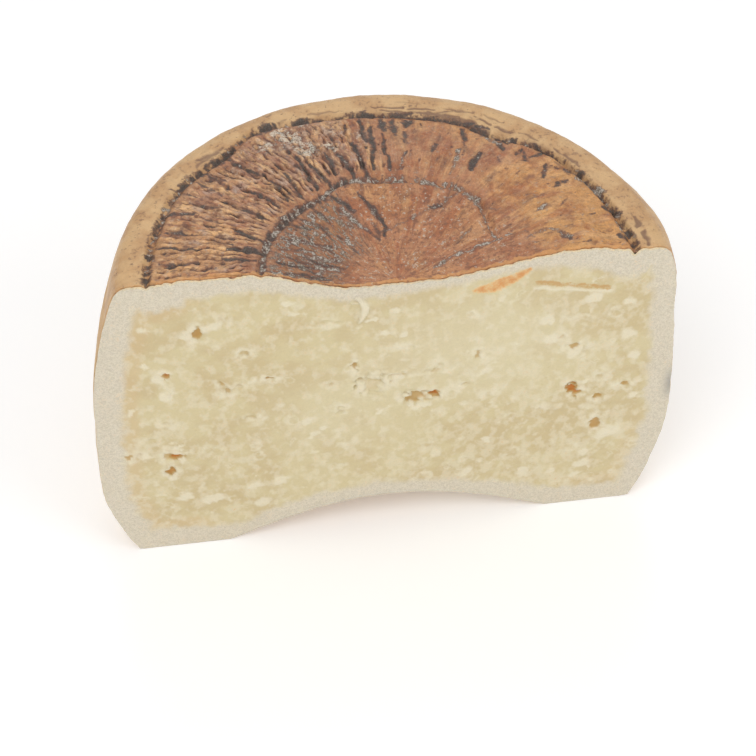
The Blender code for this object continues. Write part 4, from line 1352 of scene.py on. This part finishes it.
cut.lay(STREAK_ORANGE, cut.step(streak, 0.38, 1.05) * 0.85)
cut.lay(FLECK_WHITE, cut.mark("lip") * 0.9)
crack = cut.mark("crack") + 1.0 * (frost - 0.5) + 0.5 * (curd - 0.5)
cut.lay(CRACK_OCHRE, cut.step(crack, 0.12, 0.72) * 0.8)
cut.lay(OCHRE_PIT, cut.step(cut.mark("pit"), 0.22, 0.70) * 0.85)
cut.lay(ORANGE_PIT, cut.step(cut.mark("pit"), 0.70, 1.15))
cut.lay(FLECK_WHITE, cut.mark("shaving") * 0.9)
# Painted highlight: a thin cream line along the cut's top edge, carried by the rim mark.
cut.lay(PAINTED_EDGE_HIGHLIGHT, cut.step(cut.mark("rim") + 1.2 * (frost - 0.5), 0.3, 1.0) * 0.6)
cut.lay(BLUE_GREY, cut.mark("smear") * 0.75)
gaps = cut.step(0.5 * frost + 0.5 * fine, 0.56, 0.42)
cut.lay(WHITE_GAP, gaps * (0.06 + 0.24 * white))
grit = 0.08 + 0.16 * white
cut.brighten(1 + grit * (frost + fine - 1.0))
height = 0.35 * curd + (0.15 + 0.85 * white) * (0.5 * frost + 0.5 * fine)
cut.done(paste, 0.46 + 0.3 * white, height, 0.32 * mm,
         {"Specular IOR Level": 0.4, "Subsurface Weight": 0.12,
          "Subsurface Radius": (1.0, 0.7, 0.4), "Subsurface Scale": 0.002})


# Floor, light and camera: a pale floor under soft studio light, seen from the
# photograph's own angle.

FLOOR_SIZE = 6.0
bpy.ops.mesh.primitive_plane_add(size=FLOOR_SIZE)
floor = bpy.context.object
floor.name = "floor"
paper = Finish("floor_paper")
paper.fill(paper.shader, {"Base Color": (0.97, 0.97, 0.97, 1.0), "Roughness": 0.9,
                          "Specular IOR Level": 0.1, "Emission Color": (1.0, 1.0, 1.0, 1.0),
                          "Emission Strength": 0.12})
floor.data.materials.append(paper.material)

# Soft lamps as name, place, size, power. Each looks at the cheese.
LAMPS = (
    ("key", (-0.55, -0.75, 1.25), 0.9, 7.2),
    ("fill", (0.85, -0.70, 0.85), 0.9, 3.6),
    ("back", (0.10, 1.00, 1.10), 1.0, 3.5),
)
AIM = Vector((0.0, 0.0, 0.09))
for name, place, size, power in LAMPS:
    lamp = bpy.data.lights.new(name, "AREA")
    lamp.shape = "DISK"
    lamp.size = size
    lamp.energy = power
    holder = bpy.data.objects.new(name, lamp)
    holder.location = place
    holder.rotation_euler = (AIM - Vector(place)).to_track_quat("-Z", "Y").to_euler()
    bpy.context.scene.collection.objects.link(holder)

world = bpy.data.worlds.new("studio")
world.use_nodes = True
world.node_tree.nodes["Background"].inputs["Color"].default_value = (1.0, 1.0, 1.0, 1.0)
world.node_tree.nodes["Background"].inputs["Strength"].default_value = 0.56
bpy.context.scene.world = world
bpy.context.scene.view_settings.view_transform = "Standard"

FOCAL_PIXELS = 1800
IMAGE_PIXELS = 756
SENSOR = 36.0
PITCH = math.radians(47.2)
YAW = math.radians(7.61)
ROLL = math.radians(-0.36)
TARGET = Vector((-0.0067, 0.0, 0.0861)) + Vector(AXIS)
DISTANCE = 0.6652
forward = Vector((math.sin(YAW) * math.cos(PITCH), math.cos(YAW) * math.cos(PITCH), -math.sin(PITCH)))
level = Vector((math.cos(YAW), -math.sin(YAW), 0.0))
upright = level.cross(forward)
right = math.cos(ROLL) * level + math.sin(ROLL) * upright
up = -math.sin(ROLL) * level + math.cos(ROLL) * upright
lens = bpy.data.cameras.new("camera")
lens.sensor_width = SENSOR
lens.lens = FOCAL_PIXELS / IMAGE_PIXELS * SENSOR
camera = bpy.data.objects.new("camera", lens)
camera.matrix_world = Matrix.Translation(TARGET - forward * DISTANCE) @ Matrix(
    (right, up, -forward)).transposed().to_4x4()
bpy.context.scene.collection.objects.link(camera)
bpy.context.scene.camera = camera

bpy.context.view_layer.update()
